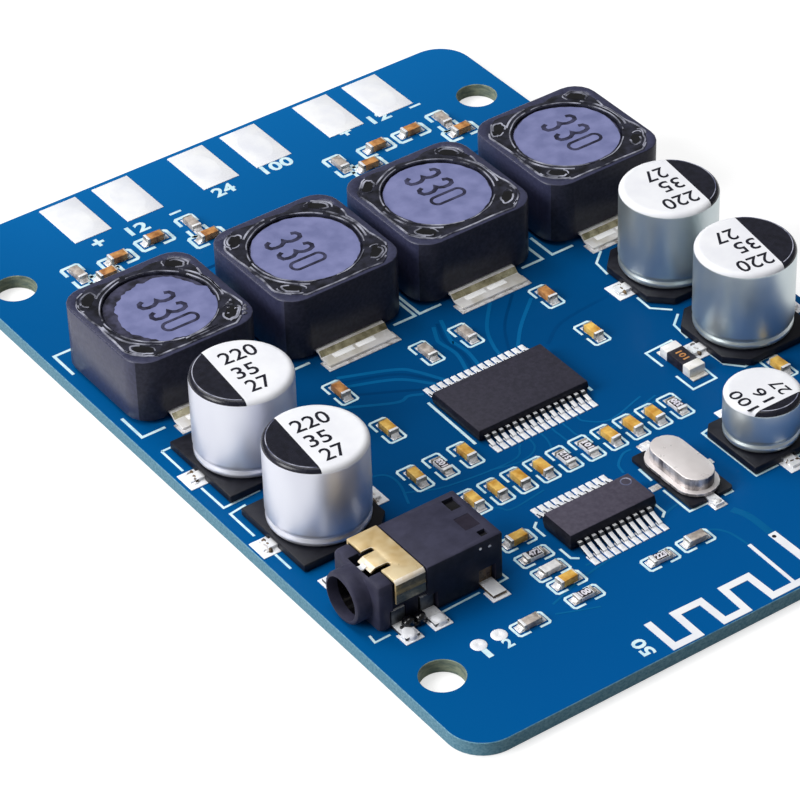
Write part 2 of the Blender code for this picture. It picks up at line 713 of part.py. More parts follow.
def moulded_body(name, length, width, base, top, parting):
    """A moulded package whose four sides draft away from the parting line."""
    mesh_data = bmesh.new()
    add_box(mesh_data, (-length / 2, -width / 2, base), (length / 2, width / 2, top))
    bmesh.ops.bisect_plane(mesh_data, geom=mesh_data.verts[:] + mesh_data.edges[:] + mesh_data.faces[:],
                           plane_co=(0, 0, parting), plane_no=(0, 0, 1))
    for vertex in mesh_data.verts:
        if abs(vertex.co.z - parting) > 0.01 * MM:
            vertex.co.x -= math.copysign(CHIP_DRAFT, vertex.co.x)
            vertex.co.y -= math.copysign(CHIP_DRAFT, vertex.co.y)
    return mesh_object(name, mesh_data)


def build_gull_wing_chip(name, place, length, width, top, span, pitch):
    """A moulded chip with as many gull-wing leads on each long side as its length holds."""
    carrier = station(name + "_place", *place.at)
    parting = (CHIP_STANDOFF + top) / 2
    body = moulded_body(name, length, width, CHIP_STANDOFF, top, parting)
    finish(body, epoxy(), carrier, smooth=False)
    foot = SEAT_GAP + CHIP_LEAD_SHEET / 2
    shoulder = width / 2 + (span - width) / 2 - CHIP_FOOT
    path = ((width / 2 - CHIP_LEAD_ROOT, parting), ((shoulder + width / 2) / 2, parting),
            (shoulder, foot + CHIP_LEAD_BEND / 2), (shoulder + CHIP_LEAD_BEND, foot), (span / 2, foot))
    mesh_data = bmesh.new()
    leads = 1 + int((length - 2 * CHIP_END_MARGIN) / pitch)
    first = -(leads - 1) / 2 * pitch
    for turn in (math.pi / 2, -math.pi / 2):
        for index in range(leads):
            sheet_path(mesh_data, path, CHIP_LEAD_WIDTH, (first + index * pitch, 0, 0), turn)
    row = mesh_object(name + "_leads", mesh_data, CUTTERS)
    thicken(row, CHIP_LEAD_SHEET)
    join(body, row)
    return body


def build_chips(layout):
    build_gull_wing_chip("amplifier_chip", layout["amplifier_chip"][0], AMPLIFIER_LENGTH, AMPLIFIER_WIDTH,
                         AMPLIFIER_TOP, AMPLIFIER_SPAN, AMPLIFIER_PITCH)
    wireless = build_gull_wing_chip("wireless_chip", layout["wireless_chip"][0], WIRELESS_LENGTH,
                                    WIRELESS_WIDTH, WIRELESS_TOP, WIRELESS_SPAN, WIRELESS_PITCH)
    dimple_x = WIRELESS_LENGTH / 2 - DIMPLE_INSET
    dimple_y = WIRELESS_WIDTH / 2 - DIMPLE_INSET
    dimple_base = WIRELESS_TOP - DIMPLE_DEPTH
    cut(wireless, cylinder("first_lead_dimple", DIMPLE_DIAMETER, (dimple_x, dimple_y, dimple_base),
                           (dimple_x, dimple_y, WIRELESS_TOP + MM), CUTTERS, 16))


def build_jack(place):
    """The socket: a moulded housing with a nose, a folded clip over its front and five soldered contacts."""
    carrier = station("jack", place.at[0] - JACK_LENGTH / 2, place.at[1])
    half = JACK_WIDTH / 2
    axis = (JACK_TOP + JACK_STANDOFF) / 2
    body_front = NOSE_LENGTH + COLLAR_LENGTH
    clip_end = body_front + JACK_CLIP_LENGTH
    housing = box("jack_housing", (body_front, -half, JACK_STANDOFF), (JACK_LENGTH, half, JACK_TOP))
    finish(housing, black_plastic(), carrier)
    round_edges(housing, JACK_EDGE_ROUND)

    step = JACK_CLIP_SHEET + FIT_GAP - JACK_CLIP_PROUD
    saddle = JACK_CLIP_SHEET + FIT_GAP
    saddle_front = body_front - FIT_GAP
    collar = box("jack_collar", (NOSE_LENGTH, -COLLAR_WIDTH / 2, JACK_STANDOFF),
                 (body_front + MM, COLLAR_WIDTH / 2, JACK_TOP), CUTTERS)
    round_edges(collar, COLLAR_ROUND)
    join(housing, collar)
    nose = cylinder("jack_nose", NOSE_DIAMETER, (0, 0, axis), (body_front + MM, 0, axis), CUTTERS)
    round_edges(nose, NOSE_ROUND)
    join(housing, nose)
    recess_front = NOSE_LENGTH + RECESS_SETBACK
    cut(housing, box("jack_recess", (recess_front, -RECESS_WIDTH / 2, JACK_TOP - RECESS_DEPTH),
                     (body_front + MM, RECESS_WIDTH / 2, JACK_TOP + MM), CUTTERS))
    for side in (-1, 1):
        low, high = sorted((side * (half - saddle), side * (half + MM)))
        cut(housing, box("jack_saddle_side", (saddle_front, low, -MM),
                         (clip_end + FIT_GAP, high, JACK_TOP + MM), CUTTERS))
    cut(housing, box("jack_saddle_top", (saddle_front, -half - MM, JACK_TOP - step),
                     (clip_end + FIT_GAP, half + MM, JACK_TOP + MM), CUTTERS))
    cut(housing, cylinder("plug_bore", PLUG_BORE, (-MM, 0, axis), (BORE_DEPTH, 0, axis), CUTTERS))
    for start, end, low, high in JACK_WINDOWS:
        cut(housing, box("jack_window", (JACK_LENGTH - start * MM, low * half, JACK_TOP - WINDOW_DEPTH),
                         (JACK_LENGTH - end * MM, high * half, JACK_TOP + MM), CUTTERS))

    clip_half = half - JACK_CLIP_SHEET / 2
    clip_top = JACK_TOP + JACK_CLIP_PROUD - JACK_CLIP_SHEET / 2
    mesh_data = bmesh.new()
    middle = body_front + JACK_CLIP_LENGTH / 2
    sheet_path(mesh_data, ((-clip_half, JACK_TOP - JACK_CLIP_DROP), (-clip_half, clip_top),
                           (clip_half, clip_top), (clip_half, JACK_TOP - JACK_CLIP_DROP)),
               JACK_CLIP_LENGTH, (middle, 0, 0), math.pi / 2)
    clip = mesh_object("jack_clip", mesh_data)
    finish(clip, gilt_metal(), carrier, smooth=False)
    thicken(clip, JACK_CLIP_SHEET)
    for side in (-1, 1):
        centre = side * (CLIP_TONGUE + CLIP_SLOT_WIDTH) / 2
        end = body_front + CLIP_SLOT_LENGTH
        cut(clip, box("jack_clip_slot", (body_front - MM, centre - CLIP_SLOT_WIDTH / 2, JACK_TOP - MM),
                      (end, centre + CLIP_SLOT_WIDTH / 2, JACK_TOP + MM), CUTTERS))
        cut(clip, cylinder("jack_clip_slot_end", CLIP_SLOT_WIDTH, (end, centre, JACK_TOP - MM),
                           (end, centre, JACK_TOP + MM), CUTTERS, 12))
    mesh_data = bmesh.new()
    sheet_path(mesh_data, ((body_front + CLIP_SLOT_LENGTH / 2, clip_top), (body_front - FIT_GAP, clip_top),
                           (body_front - TONGUE_REACH, clip_top - TONGUE_DROP)), CLIP_TONGUE)
    tongue = mesh_object("jack_clip_tongue", mesh_data, CUTTERS)
    thicken(tongue, JACK_CLIP_SHEET)
    join(clip, tongue)

    contacts = [(share * JACK_LENGTH, -1) for share in FRONT_CONTACTS]
    contacts += [(share * JACK_LENGTH, 1) for share in REAR_CONTACTS]
    foot = SEAT_GAP + CONTACT_SHEET / 2
    for number, (place, side) in enumerate(contacts, 1):
        seat = half - CONTACT_SEAT
        pocket = CONTACT_WIDTH / 2 + FIT_GAP
        low, high = sorted((side * (seat - CONTACT_SHEET / 2 - FIT_GAP), side * (half + MM)))
        cut(housing, box("jack_pocket", (place - pocket, low, -MM),
                         (place + pocket, high, CONTACT_HEIGHT + FIT_GAP), CUTTERS))
        path = ((seat, CONTACT_HEIGHT), (seat, foot), (half + CONTACT_REACH, foot))
        bent_strip("jack_contact_%d" % number, path, CONTACT_WIDTH, CONTACT_SHEET, tinned_metal(), carrier,
                   (place, 0, 0), side * math.pi / 2)


def build_crystal(place):
    """A drawn can welded to its flange, standing on an insulating plate with two bent leads."""
    carrier = station("crystal", *place.at)
    seat = SEAT_GAP + INSULATOR_THICKNESS
    flange_base = seat + SEAT_GAP
    flange_top = flange_base + CRYSTAL_FLANGE
    can = plate("crystal_can", stadium_outline(CRYSTAL_CAN_WIDTH, CRYSTAL_CAN_LENGTH),
                flange_top - FUSE_DEPTH, CRYSTAL_TOP)
    finish(can, nickel(), carrier)
    round_edges(can, CRYSTAL_EDGE_ROUND)
    join(can, plate("crystal_flange", stadium_outline(CRYSTAL_FLANGE_WIDTH, CRYSTAL_FLANGE_LENGTH),
                    flange_base, flange_top, CUTTERS))

    half = INSULATOR_LENGTH / 2
    insulator = plate("crystal_insulator", rounded_outline(INSULATOR_WIDTH, INSULATOR_LENGTH,
                                                           INSULATOR_CORNER_RADIUS), SEAT_GAP, seat)
    finish(insulator, black_plastic(), carrier, smooth=False)
    foot = SEAT_GAP + LEAD_SHEET / 2
    inner = half - CRYSTAL_LEAD_INSET
    slot = CRYSTAL_LEAD_WIDTH / 2 + FIT_GAP
    near = inner - LEAD_SHEET / 2 - FIT_GAP
    far = inner + LEAD_SHEET / 2 + FIT_GAP
    path = ((inner, seat), (inner, foot), (half + CRYSTAL_LEAD_REACH, foot))
    for side, turn in (("front", -math.pi / 2), ("rear", math.pi / 2)):
        way = math.sin(turn)
        low, high = sorted((way * near, way * (half + MM)))
        cut(insulator, box("crystal_channel", (-slot, low, 0), (slot, high, foot + LEAD_SHEET / 2 + FIT_GAP),
                           CUTTERS))
        low, high = sorted((way * near, way * far))
        cut(insulator, box("crystal_lead_hole", (-slot, low, 0), (slot, high, seat + MM), CUTTERS))
        bent_strip("crystal_lead_" + side, path, CRYSTAL_LEAD_WIDTH, LEAD_SHEET, tinned_metal(), carrier,
                   turn=turn)


def build_diode(place):
    carrier = station("diode", *place.at, place.turn)
    mesh_data = bmesh.new()
    add_chip(mesh_data, 0, 0, SEAT_GAP + FUSE_DEPTH, DIODE_LENGTH, DIODE_WIDTH, DIODE_HEIGHT, 0)
    finish(mesh_object("protection_diode", mesh_data), epoxy(), carrier, smooth=False)


def build_all():
    layout = lay_out()
    build_board(layout)
    for number, place in enumerate(layout["inductors"], 1):
        build_inductor(number, *place.at)
    for number, place in enumerate(layout["big_capacitors"], 1):
        build_capacitor(number, place, BIG_CAN_DIAMETER, BIG_CAN_TOP, BIG_BASE_CHAMFER)
    for number, place in enumerate(layout["small_capacitor"], 1 + len(BIG_CAPACITORS)):
        build_capacitor(number, place, SMALL_CAN_DIAMETER, SMALL_CAN_TOP, SMALL_BASE_CHAMFER)
    build_chips(layout)
    build_jack(layout["jack"][0])
    build_crystal(layout["crystal"][0])
    build_diode(layout["diode"][0])


build_all()
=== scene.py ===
"""Looks of the stereo audio amplifier board: its mask, print, solder, chips, cans, coils and socket.

Shapes are drawn in millimetres in the board's own frame and turned into metres when a piece is finished.
"""
import math
import random

import bmesh
import bpy
from mathutils import Matrix, Vector, noise


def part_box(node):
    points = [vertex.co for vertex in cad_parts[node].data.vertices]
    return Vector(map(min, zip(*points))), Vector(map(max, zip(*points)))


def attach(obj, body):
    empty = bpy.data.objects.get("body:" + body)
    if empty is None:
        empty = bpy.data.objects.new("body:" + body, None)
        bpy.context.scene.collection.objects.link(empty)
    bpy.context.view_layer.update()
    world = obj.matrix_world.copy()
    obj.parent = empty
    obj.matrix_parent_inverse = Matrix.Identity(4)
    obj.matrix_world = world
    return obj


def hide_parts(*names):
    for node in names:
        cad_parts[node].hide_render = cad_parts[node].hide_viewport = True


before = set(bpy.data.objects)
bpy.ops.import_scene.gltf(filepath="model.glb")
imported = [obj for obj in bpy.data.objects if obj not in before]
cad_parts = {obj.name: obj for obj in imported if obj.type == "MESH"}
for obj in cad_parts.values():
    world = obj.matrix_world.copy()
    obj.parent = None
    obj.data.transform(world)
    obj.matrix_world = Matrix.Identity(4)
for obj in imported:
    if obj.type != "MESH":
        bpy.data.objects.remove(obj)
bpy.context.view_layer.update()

random.seed(11)

MM = 0.001
BOARD_TOP = 1.2
BOARD_WIDTH, BOARD_LENGTH = 52.0, 74.5
SINK = 0.01             # how far flat pieces reach down into the mask
PRINT_RISE = 0.018
FLAT = Matrix()


def tone(red, green, blue):
    """A colour as seen, 0 to 255, turned into the linear value that a shader wants."""
    return tuple((value / 255 / 12.92) if value <= 10 else ((value / 255 + 0.055) / 1.055) ** 2.4
                 for value in (red, green, blue))


# Finishes

class Finish:
    """A procedural surface built up on one Principled shader. Its tones are as seen, 0 to 255."""

    def __init__(self, name, colour, roughness, metallic=0.0, specular=0.5):
        self.material = bpy.data.materials.new(name)
        self.material.use_nodes = True
        self.nodes = self.material.node_tree.nodes
        self.links = self.material.node_tree.links
        self.shader = self.nodes["Principled BSDF"]
        self.shader.inputs["Base Color"].default_value = (*tone(*colour), 1)
        self.shader.inputs["Roughness"].default_value = roughness
        self.shader.inputs["Metallic"].default_value = metallic
        self.shader.inputs["Specular IOR Level"].default_value = specular
        self.where = self.nodes.new("ShaderNodeTexCoord").outputs["Object"]
        self.bumps = None

    def node(self, kind, source, into, **values):
        """A new node, fed by a socket, with its constants set."""
        node = self.nodes.new(kind)
        self.links.new(source, node.inputs[into])
        for name, value in values.items():
            node.inputs[name.replace("_", " ")].default_value = value
        return node

    def noise(self, per_mm, detail, stretch=(1, 1, 1)):
        """A cloudy pattern whose grain has so many lumps in a millimetre."""
        spread = self.node("ShaderNodeMapping", self.where, "Vector",
                           Scale=[per_mm / MM * way for way in stretch])
        cloud = self.node("ShaderNodeTexNoise", spread.outputs["Vector"], "Vector", Scale=1.0,
                          Detail=detail)
        return cloud.outputs["Fac"]

    def ramp(self, source, stops, tones):
        """A colour that runs through tones at their stops."""
        node = self.node("ShaderNodeValToRGB", source, "Fac")
        if len(stops) > 2:
            node.color_ramp.elements.new(0.5)
        for element, stop, shade in zip(node.color_ramp.elements, stops, tones):
            element.position = stop
            element.color = (*tone(*shade), 1)
        return node.outputs["Color"]

    def mottle(self, per_mm, dark, light, low=0.35, high=0.65, detail=3.0, stretch=(1, 1, 1)):
        """Base colour that wanders between two tones."""
        colour = self.ramp(self.noise(per_mm, detail, stretch), (low, high), (dark, light))
        self.links.new(colour, self.shader.inputs["Base Color"])
        return self

    def painted_shade_gradient(self, rear, middle, front, left):
        """Base colour that changes slowly over the board: along its length, darkest in the middle as
        painted shade in front of the coils, and by its left edge.
        """
        split = self.node("ShaderNodeSeparateXYZ", self.where, "Vector")
        along = self.node("ShaderNodeMapRange", split.outputs["Y"], "Value",
                          From_Min=-37 * MM, From_Max=37 * MM)
        across = self.node("ShaderNodeMapRange", split.outputs["X"], "Value",
                           From_Min=-26 * MM, From_Max=-17 * MM, To_Min=0.75, To_Max=0.0)
        mix = self.nodes.new("ShaderNodeMix")
        mix.data_type = "RGBA"
        self.links.new(across.outputs["Result"], mix.inputs["Factor"])
        lengthwise = self.ramp(along.outputs["Result"], (0, 0.5, 1), (front, middle, rear))
        self.links.new(lengthwise, mix.inputs[6])
        mix.inputs[7].default_value = (*tone(*left), 1)
        self.links.new(mix.outputs[2], self.shader.inputs["Base Color"])
        return self

    def gloss(self, per_mm, smooth, rough, detail=2.0):
        """Roughness that wanders between two values."""
        spread = self.node("ShaderNodeMapRange", self.noise(per_mm, detail), "Value",
                           From_Min=0.3, From_Max=0.7, To_Min=smooth, To_Max=rough)
        self.links.new(spread.outputs["Result"], self.shader.inputs["Roughness"])
        return self

    def relief(self, per_mm, strength, depth_mm, detail=3.0, stretch=(1, 1, 1)):
        """Bumps on the surface, added to those that are there."""
        bump = self.node("ShaderNodeBump", self.noise(per_mm, detail, stretch), "Height", Strength=strength,
                         Distance=depth_mm * MM)
        if self.bumps:
            self.links.new(self.bumps.outputs["Normal"], bump.inputs["Normal"])
        self.links.new(bump.outputs["Normal"], self.shader.inputs["Normal"])
        self.bumps = bump
        return self

    def glow(self, strength):
        """A little light of its own: a painted highlight that glows though it is no lamp."""
        self.shader.inputs["Emission Color"].default_value = (1, 1, 1, 1)
        self.shader.inputs["Emission Strength"].default_value = strength
        return self


# The board's blue is darkest across the middle of its length: painted shade in front of the coils.
mask_blue = (Finish("solder_mask_blue", (2, 86, 153), 0.34, specular=0.025)
             .painted_shade_gradient((10, 101, 168), (1, 69, 122), (2, 85, 150), (2, 88, 150)).gloss(0.3, 0.28, 0.4)
             .relief(0.5, 0.08, 0.02))
mask_over_copper = (Finish("solder_mask_over_tracks", (6, 94, 149), 0.32, specular=0.04)
                    .mottle(0.1, (5, 89, 142), (9, 101, 157)).gloss(0.4, 0.26, 0.38)
                    .relief(0.7, 0.12, 0.02))
mask_in_shade = (Finish("solder_mask_in_gaps", (0, 62, 112), 0.34, specular=0.03)
                 .mottle(0.1, (0, 58, 106), (0, 66, 120)).gloss(0.4, 0.28, 0.4))
laminate_edge = (Finish("laminate_edge", (98, 146, 172), 0.6, specular=0.2)
                 .mottle(4.5, (80, 130, 154), (124, 168, 186), 0.3, 0.7, detail=5, stretch=(1, 1, 1.4))
                 .relief(4.5, 0.4, 0.04, detail=4))
hole_wall = (Finish("drilled_hole_wall", (124, 140, 128), 0.6, specular=0.2)
             .mottle(1.4, (104, 120, 112), (146, 156, 136), detail=4, stretch=(1, 1, 3))
             .relief(2.0, 0.4, 0.04))
board_print = (Finish("white_board_print", (204, 238, 246), 0.55, specular=0.2)
               .mottle(1.2, (184, 224, 238), (222, 246, 250), 0.3, 0.6, detail=4).relief(3.0, 0.3, 0.02))
tin = (Finish("tinned_copper", (246, 247, 250), 0.42, metallic=0.05, specular=0.2)
       .mottle(0.5, (238, 240, 247), (250, 251, 253), detail=3).gloss(0.8, 0.34, 0.5)
       .relief(0.9, 0.15, 0.04))
solder = (Finish("bright_solder", (232, 231, 232), 0.24, metallic=0.3)
          .mottle(1.6, (168, 158, 150), (246, 245, 246), 0.3, 0.52, detail=4).gloss(1.5, 0.16, 0.4)
          .relief(1.2, 0.4, 0.1, detail=2))
# Painted highlight for the glints on the coils' clips: white that glows a little.
painted_glint_glow = Finish("painted_glint_glow", (255, 255, 255), 0.45, specular=0.5).glow(0.2)
lead_tin = (Finish("tin_plated_leads", (246, 247, 250), 0.34, metallic=0.1, specular=0.4)
            .mottle(1.5, (234, 236, 242), (251, 252, 253), detail=3).gloss(2.0, 0.26, 0.4)
            .relief(2.5, 0.15, 0.02))
shaded_tin = (Finish("tin_in_shade", (150, 145, 136), 0.36, metallic=0.2)
              .mottle(1.4, (120, 113, 104), (206, 200, 192), 0.36, 0.6, detail=4).gloss(1.5, 0.24, 0.42))
lead_shade = (Finish("lead_bend_in_shade", (64, 68, 72), 0.36, metallic=0.3)
              .mottle(1.4, (44, 48, 54), (88, 92, 96), detail=4).gloss(1.5, 0.24, 0.42))
flux_brown = (Finish("burnt_flux", (84, 66, 46), 0.3, specular=0.5)
              .mottle(1.5, (46, 36, 28), (124, 100, 68), detail=4).gloss(1.5, 0.2, 0.4))
ferrite = (Finish("charcoal_ferrite", (55, 57, 82), 0.36, specular=0.45)
           .mottle(3.5, (50, 52, 76), (60, 62, 89), 0.36, 0.66, detail=5).gloss(2.0, 0.3, 0.4)
           .relief(6.0, 0.12, 0.012, detail=4))
ferrite_shade = (Finish("charcoal_ferrite_in_shade", (43, 44, 57), 0.5, specular=0.15)
                 .mottle(3.5, (38, 39, 51), (49, 50, 64), 0.36, 0.66, detail=5).gloss(2.0, 0.32, 0.44)
                 .relief(6.0, 0.12, 0.012, detail=4))
coil_resin = (Finish("black_coil_resin", (26, 27, 38), 0.2, specular=0.5)
              .mottle(1.1, (14, 15, 23), (44, 45, 60)).gloss(1.5, 0.12, 0.28).relief(1.4, 0.5, 0.1))
# Pale lines along the resin's edges: painted highlights.
resin_edge_highlight = (Finish("painted_resin_edge_highlight", (120, 122, 146), 0.16, specular=0.6)
              .mottle(0.8, (40, 41, 54), (182, 184, 200), 0.36, 0.66, detail=3).gloss(1.5, 0.12, 0.24))
disc_paint = (Finish("lilac_disc_paint", (122, 127, 170), 0.55, specular=0.15)
              .mottle(0.7, (112, 117, 160), (130, 134, 178), 0.34, 0.66, detail=5).gloss(2.0, 0.48, 0.62)
              .relief(5.0, 0.25, 0.015))
drum_black = (Finish("dark_drum_end", (50, 50, 66), 0.4, specular=0.3)
              .mottle(1.2, (30, 30, 42), (72, 72, 96), detail=4).gloss(2.0, 0.3, 0.5))
# Pale line: a painted highlight along the cans' shoulders, and the ring of the chip's first-lead mark.
rim_highlight_and_mark = (Finish("pale_rim_highlight_and_mark", (150, 154, 180), 0.3, specular=0.4)
             .mottle(0.8, (96, 100, 128), (196, 198, 214), 0.4, 0.6).gloss(1.0, 0.2, 0.4))
digit_ink = (Finish("dark_digit_ink", (46, 46, 68), 0.55, specular=0.15)
             .mottle(1.2, (36, 36, 54), (74, 75, 104), 0.4, 0.7, detail=4).relief(6.0, 0.2, 0.01))
copper_wire = (Finish("enamelled_copper_wire", (150, 78, 42), 0.3, metallic=0.8)
               .mottle(0.5, (128, 62, 34), (168, 92, 50)).relief(0.6, 0.4, 0.1, stretch=(0.2, 0.2, 8)))
aluminium = (Finish("satin_drawn_aluminium", (220, 222, 233), 0.4, metallic=0.75)
             .mottle(0.25, (214, 216, 228), (226, 228, 238), detail=2, stretch=(1, 1, 0.25))
             .gloss(0.5, 0.36, 0.44, detail=1))
bare_aluminium = (Finish("half_bright_aluminium", (204, 214, 216), 0.38, metallic=0.85)
                  .mottle(0.25, (197, 208, 211), (210, 219, 221), detail=2, stretch=(1, 1, 0.25))
                  .gloss(0.5, 0.35, 0.41, detail=1))
can_white = (Finish("white_can_coat", (242, 243, 248), 0.45, specular=0.2)
             .mottle(0.5, (238, 239, 245), (246, 247, 251)).relief(2.5, 0.2, 0.01))
can_black = (Finish("black_can_print", (24, 25, 37), 0.26, specular=0.4)
             .mottle(2.0, (20, 21, 32), (30, 31, 44), detail=4).gloss(1.5, 0.22, 0.32)
             .relief(3.0, 0.25, 0.015))
black_plastic = (Finish("black_moulded_plastic", (20, 21, 31), 0.45, specular=0.3)
                 .mottle(1.5, (17, 18, 27), (25, 26, 36), detail=4).gloss(1.5, 0.4, 0.56)
                 .relief(5.0, 0.25, 0.02))
# The socket's plastic in two copies: socket_side is painted shade for its front side, and the grey of
# socket_plastic is partly a painted sheen.
socket_side = (Finish("socket_side_in_shade", (30, 33, 46), 0.5, specular=0.15)
               .mottle(1.0, (26, 29, 41), (35, 38, 52), detail=4).gloss(1.5, 0.42, 0.58)
               .relief(4.0, 0.3, 0.02))
socket_plastic = (Finish("charcoal_socket_plastic", (54, 54, 72), 0.5, specular=0.15)
                  .mottle(1.0, (50, 50, 67), (59, 59, 78), detail=4).gloss(1.5, 0.42, 0.58)
                  .relief(4.0, 0.3, 0.02))
chip_epoxy = (Finish("charcoal_chip_epoxy", (52, 50, 62), 0.55, specular=0.2)
              .mottle(3.2, (48, 47, 58), (57, 55, 68), detail=5).gloss(2.5, 0.46, 0.62)
              .relief(6.0, 0.35, 0.02, detail=4))
gilt = (Finish("gilt_spring_metal", (218, 190, 138), 0.36, metallic=0.25)
        .mottle(0.5, (202, 170, 112), (234, 214, 172), 0.34, 0.62, detail=2).gloss(0.9, 0.26, 0.42)
        .relief(3.0, 0.15, 0.02, stretch=(0.3, 1, 1)))
# Painted highlight for the socket clip's fold and tongue.
gilt_highlight = (Finish("painted_gilt_highlight", (248, 236, 218), 0.34, metallic=0.05)
               .mottle(1.2, (242, 226, 200), (250, 243, 232), detail=4).gloss(1.2, 0.22, 0.36))
gilt_shade = (Finish("gilt_in_shade", (132, 114, 70), 0.3, metallic=0.2)
              .mottle(0.9, (84, 78, 56), (176, 150, 92), 0.36, 0.6, detail=4, stretch=(0.25, 1, 2))
              .gloss(1.2, 0.2, 0.36))
gilt_low = (Finish("gilt_low_in_shade", (78, 86, 92), 0.3, metallic=0.2)
            .mottle(0.9, (44, 52, 62), (120, 118, 96), 0.36, 0.64, detail=4, stretch=(0.25, 1, 2))
            .gloss(1.2, 0.2, 0.36))
coil_clip = (Finish("tinned_coil_clip", (238, 233, 222), 0.34, metallic=0.1)
             .mottle(0.55, (226, 221, 210), (250, 248, 246), 0.36, 0.56, detail=3).gloss(0.8, 0.24, 0.42)
             .relief(1.6, 0.15, 0.03))
# Painted shade on the rising slant of the coils' clips.
clip_shade = (Finish("coil_clip_slant_in_shade", (160, 152, 118), 0.32, metallic=0.3)
              .mottle(0.8, (104, 97, 66), (194, 186, 152), 0.38, 0.62, detail=4).gloss(1.2, 0.2, 0.4))
nickel = (Finish("satin_nickel_can", (230, 223, 222), 0.3, metallic=0.3)
          .mottle(0.5, (228, 221, 220), (236, 230, 229), detail=2).gloss(1.4, 0.26, 0.4)
          .relief(3.0, 0.2, 0.015))
# The crystal can's sides: painted shade with painted reflection streaks.
nickel_side_shade = (Finish("nickel_side_in_shade_with_streaks", (176, 168, 166), 0.32, metallic=0.5)
               .mottle(1.1, (92, 86, 88), (226, 219, 217), 0.36, 0.6, stretch=(1, 1, 0.2))
               .gloss(1.0, 0.24, 0.38))
ceramic = (Finish("yellow_ceramic", (226, 174, 74), 0.42)
           .mottle(1.2, (196, 138, 40), (246, 204, 106), 0.34, 0.66, detail=4).relief(4.0, 0.3, 0.02))
brown_ceramic = (Finish("brown_ceramic", (186, 126, 66), 0.42)
                 .mottle(1.6, (152, 96, 48), (216, 156, 92), 0.34, 0.66, detail=4).relief(4.0, 0.3, 0.02))
grey_ceramic = (Finish("grey_ceramic", (176, 166, 158), 0.45)
                .mottle(2.0, (150, 140, 132), (200, 190, 182), detail=4).relief(4.0, 0.3, 0.02))
white_ceramic = (Finish("white_ceramic", (236, 234, 234), 0.5)
                 .mottle(2.0, (220, 218, 220), (244, 243, 243), detail=4).relief(4.0, 0.3, 0.02))
resistor_glaze = (Finish("black_resistor_glaze", (32, 31, 40), 0.34, specular=0.25)
                  .mottle(3.0, (26, 25, 32), (46, 43, 54), detail=4).relief(4.0, 0.25, 0.015))
code_print = (Finish("lilac_white_code_print", (226, 222, 234), 0.5, specular=0.2)
              .mottle(1.5, (206, 202, 218), (238, 236, 243), detail=4))
epoxy_in_shade = (Finish("chip_side_in_shade", (29, 29, 38), 0.5, specular=0.15)
              .mottle(2.4, (25, 25, 33), (34, 34, 44), detail=4).gloss(2.0, 0.42, 0.58)
              .relief(6.0, 0.3, 0.02, detail=4))
pale_epoxy = (Finish("worn_chip_epoxy", (74, 70, 84), 0.5, specular=0.2)
              .mottle(3.2, (69, 65, 79), (80, 76, 90), detail=5).gloss(2.5, 0.44, 0.6)
              .relief(6.0, 0.35, 0.02, detail=4))
# Glossy black: painted shade in the coils' pockets, the socket's bore and its dark windows, and the real
# black residue by the socket's contacts.
hollow_shade_and_residue_black = (Finish("black_hollow_shade_and_residue", (8, 8, 12), 0.14, specular=0.6).mottle(1.2, (5, 5, 8), (14, 14, 20))
                .gloss(1.0, 0.1, 0.3))
window_brown = (Finish("window_strip", (42, 38, 50), 0.5, specular=0.12)
                .mottle(1.2, (38, 34, 46), (46, 42, 55)).relief(4.0, 0.2, 0.01))


# Shapes, in millimetres

def at(x, y, z=0.0, turn=0.0):
    """A place on the board: millimetres, and a turn about the upright in degrees."""
    return Matrix.Translation((x, y, z)) @ Matrix.Rotation(math.radians(turn), 4, "Z")


def placed(place, points):
    """Flat points moved to a place on the board."""
    return [(place @ Vector((x, y, 0))).xy for x, y in points]


def corners_in(items):
    """The vertices in an operator's list of new geometry."""
    return [item for item in items if isinstance(item, bmesh.types.BMVert)]


def sharp_edges(data, turn):
    """Edges where two faces meet at more than a turn in radians."""
    return [edge for edge in data.edges if edge.calc_face_angle(0) > turn]


def soften(data, edges, offset, steps=2, clamp=False):
    """Round some edges."""
    bmesh.ops.bevel(data, geom=edges, affect="EDGES", offset=offset, segments=steps, profile=0.5,
                    material=-1, clamp_overlap=clamp)


def split(data, place, way):
    """Cut all faces that cross a plane in two."""
    bmesh.ops.bisect_plane(data, geom=data.verts[:] + data.edges[:] + data.faces[:], plane_co=place,
                           plane_no=way)


def stamp(data, shape, *places):
    """Copy a shape into a mesh at each place, and free it."""
    mesh = bpy.data.meshes.new("stamp")
    shape.to_mesh(mesh)
    shape.free()
    for place in places:
        data.verts.ensure_lookup_table()
        before = len(data.verts)
        data.from_mesh(mesh)
        data.verts.ensure_lookup_table()
        bmesh.ops.transform(data, matrix=place, verts=data.verts[before:])
    bpy.data.meshes.remove(mesh)


def block(low, high, edge=0.0):
    """A box between two corners with rounded edges."""
    data = bmesh.new()
    bmesh.ops.create_cube(data, size=1.0)
    low, high = Vector(low), Vector(high)
    bmesh.ops.scale(data, vec=high - low, verts=data.verts)
    bmesh.ops.translate(data, vec=(low + high) / 2, verts=data.verts)
    if edge:
        soften(data, data.edges[:], edge)
    return data


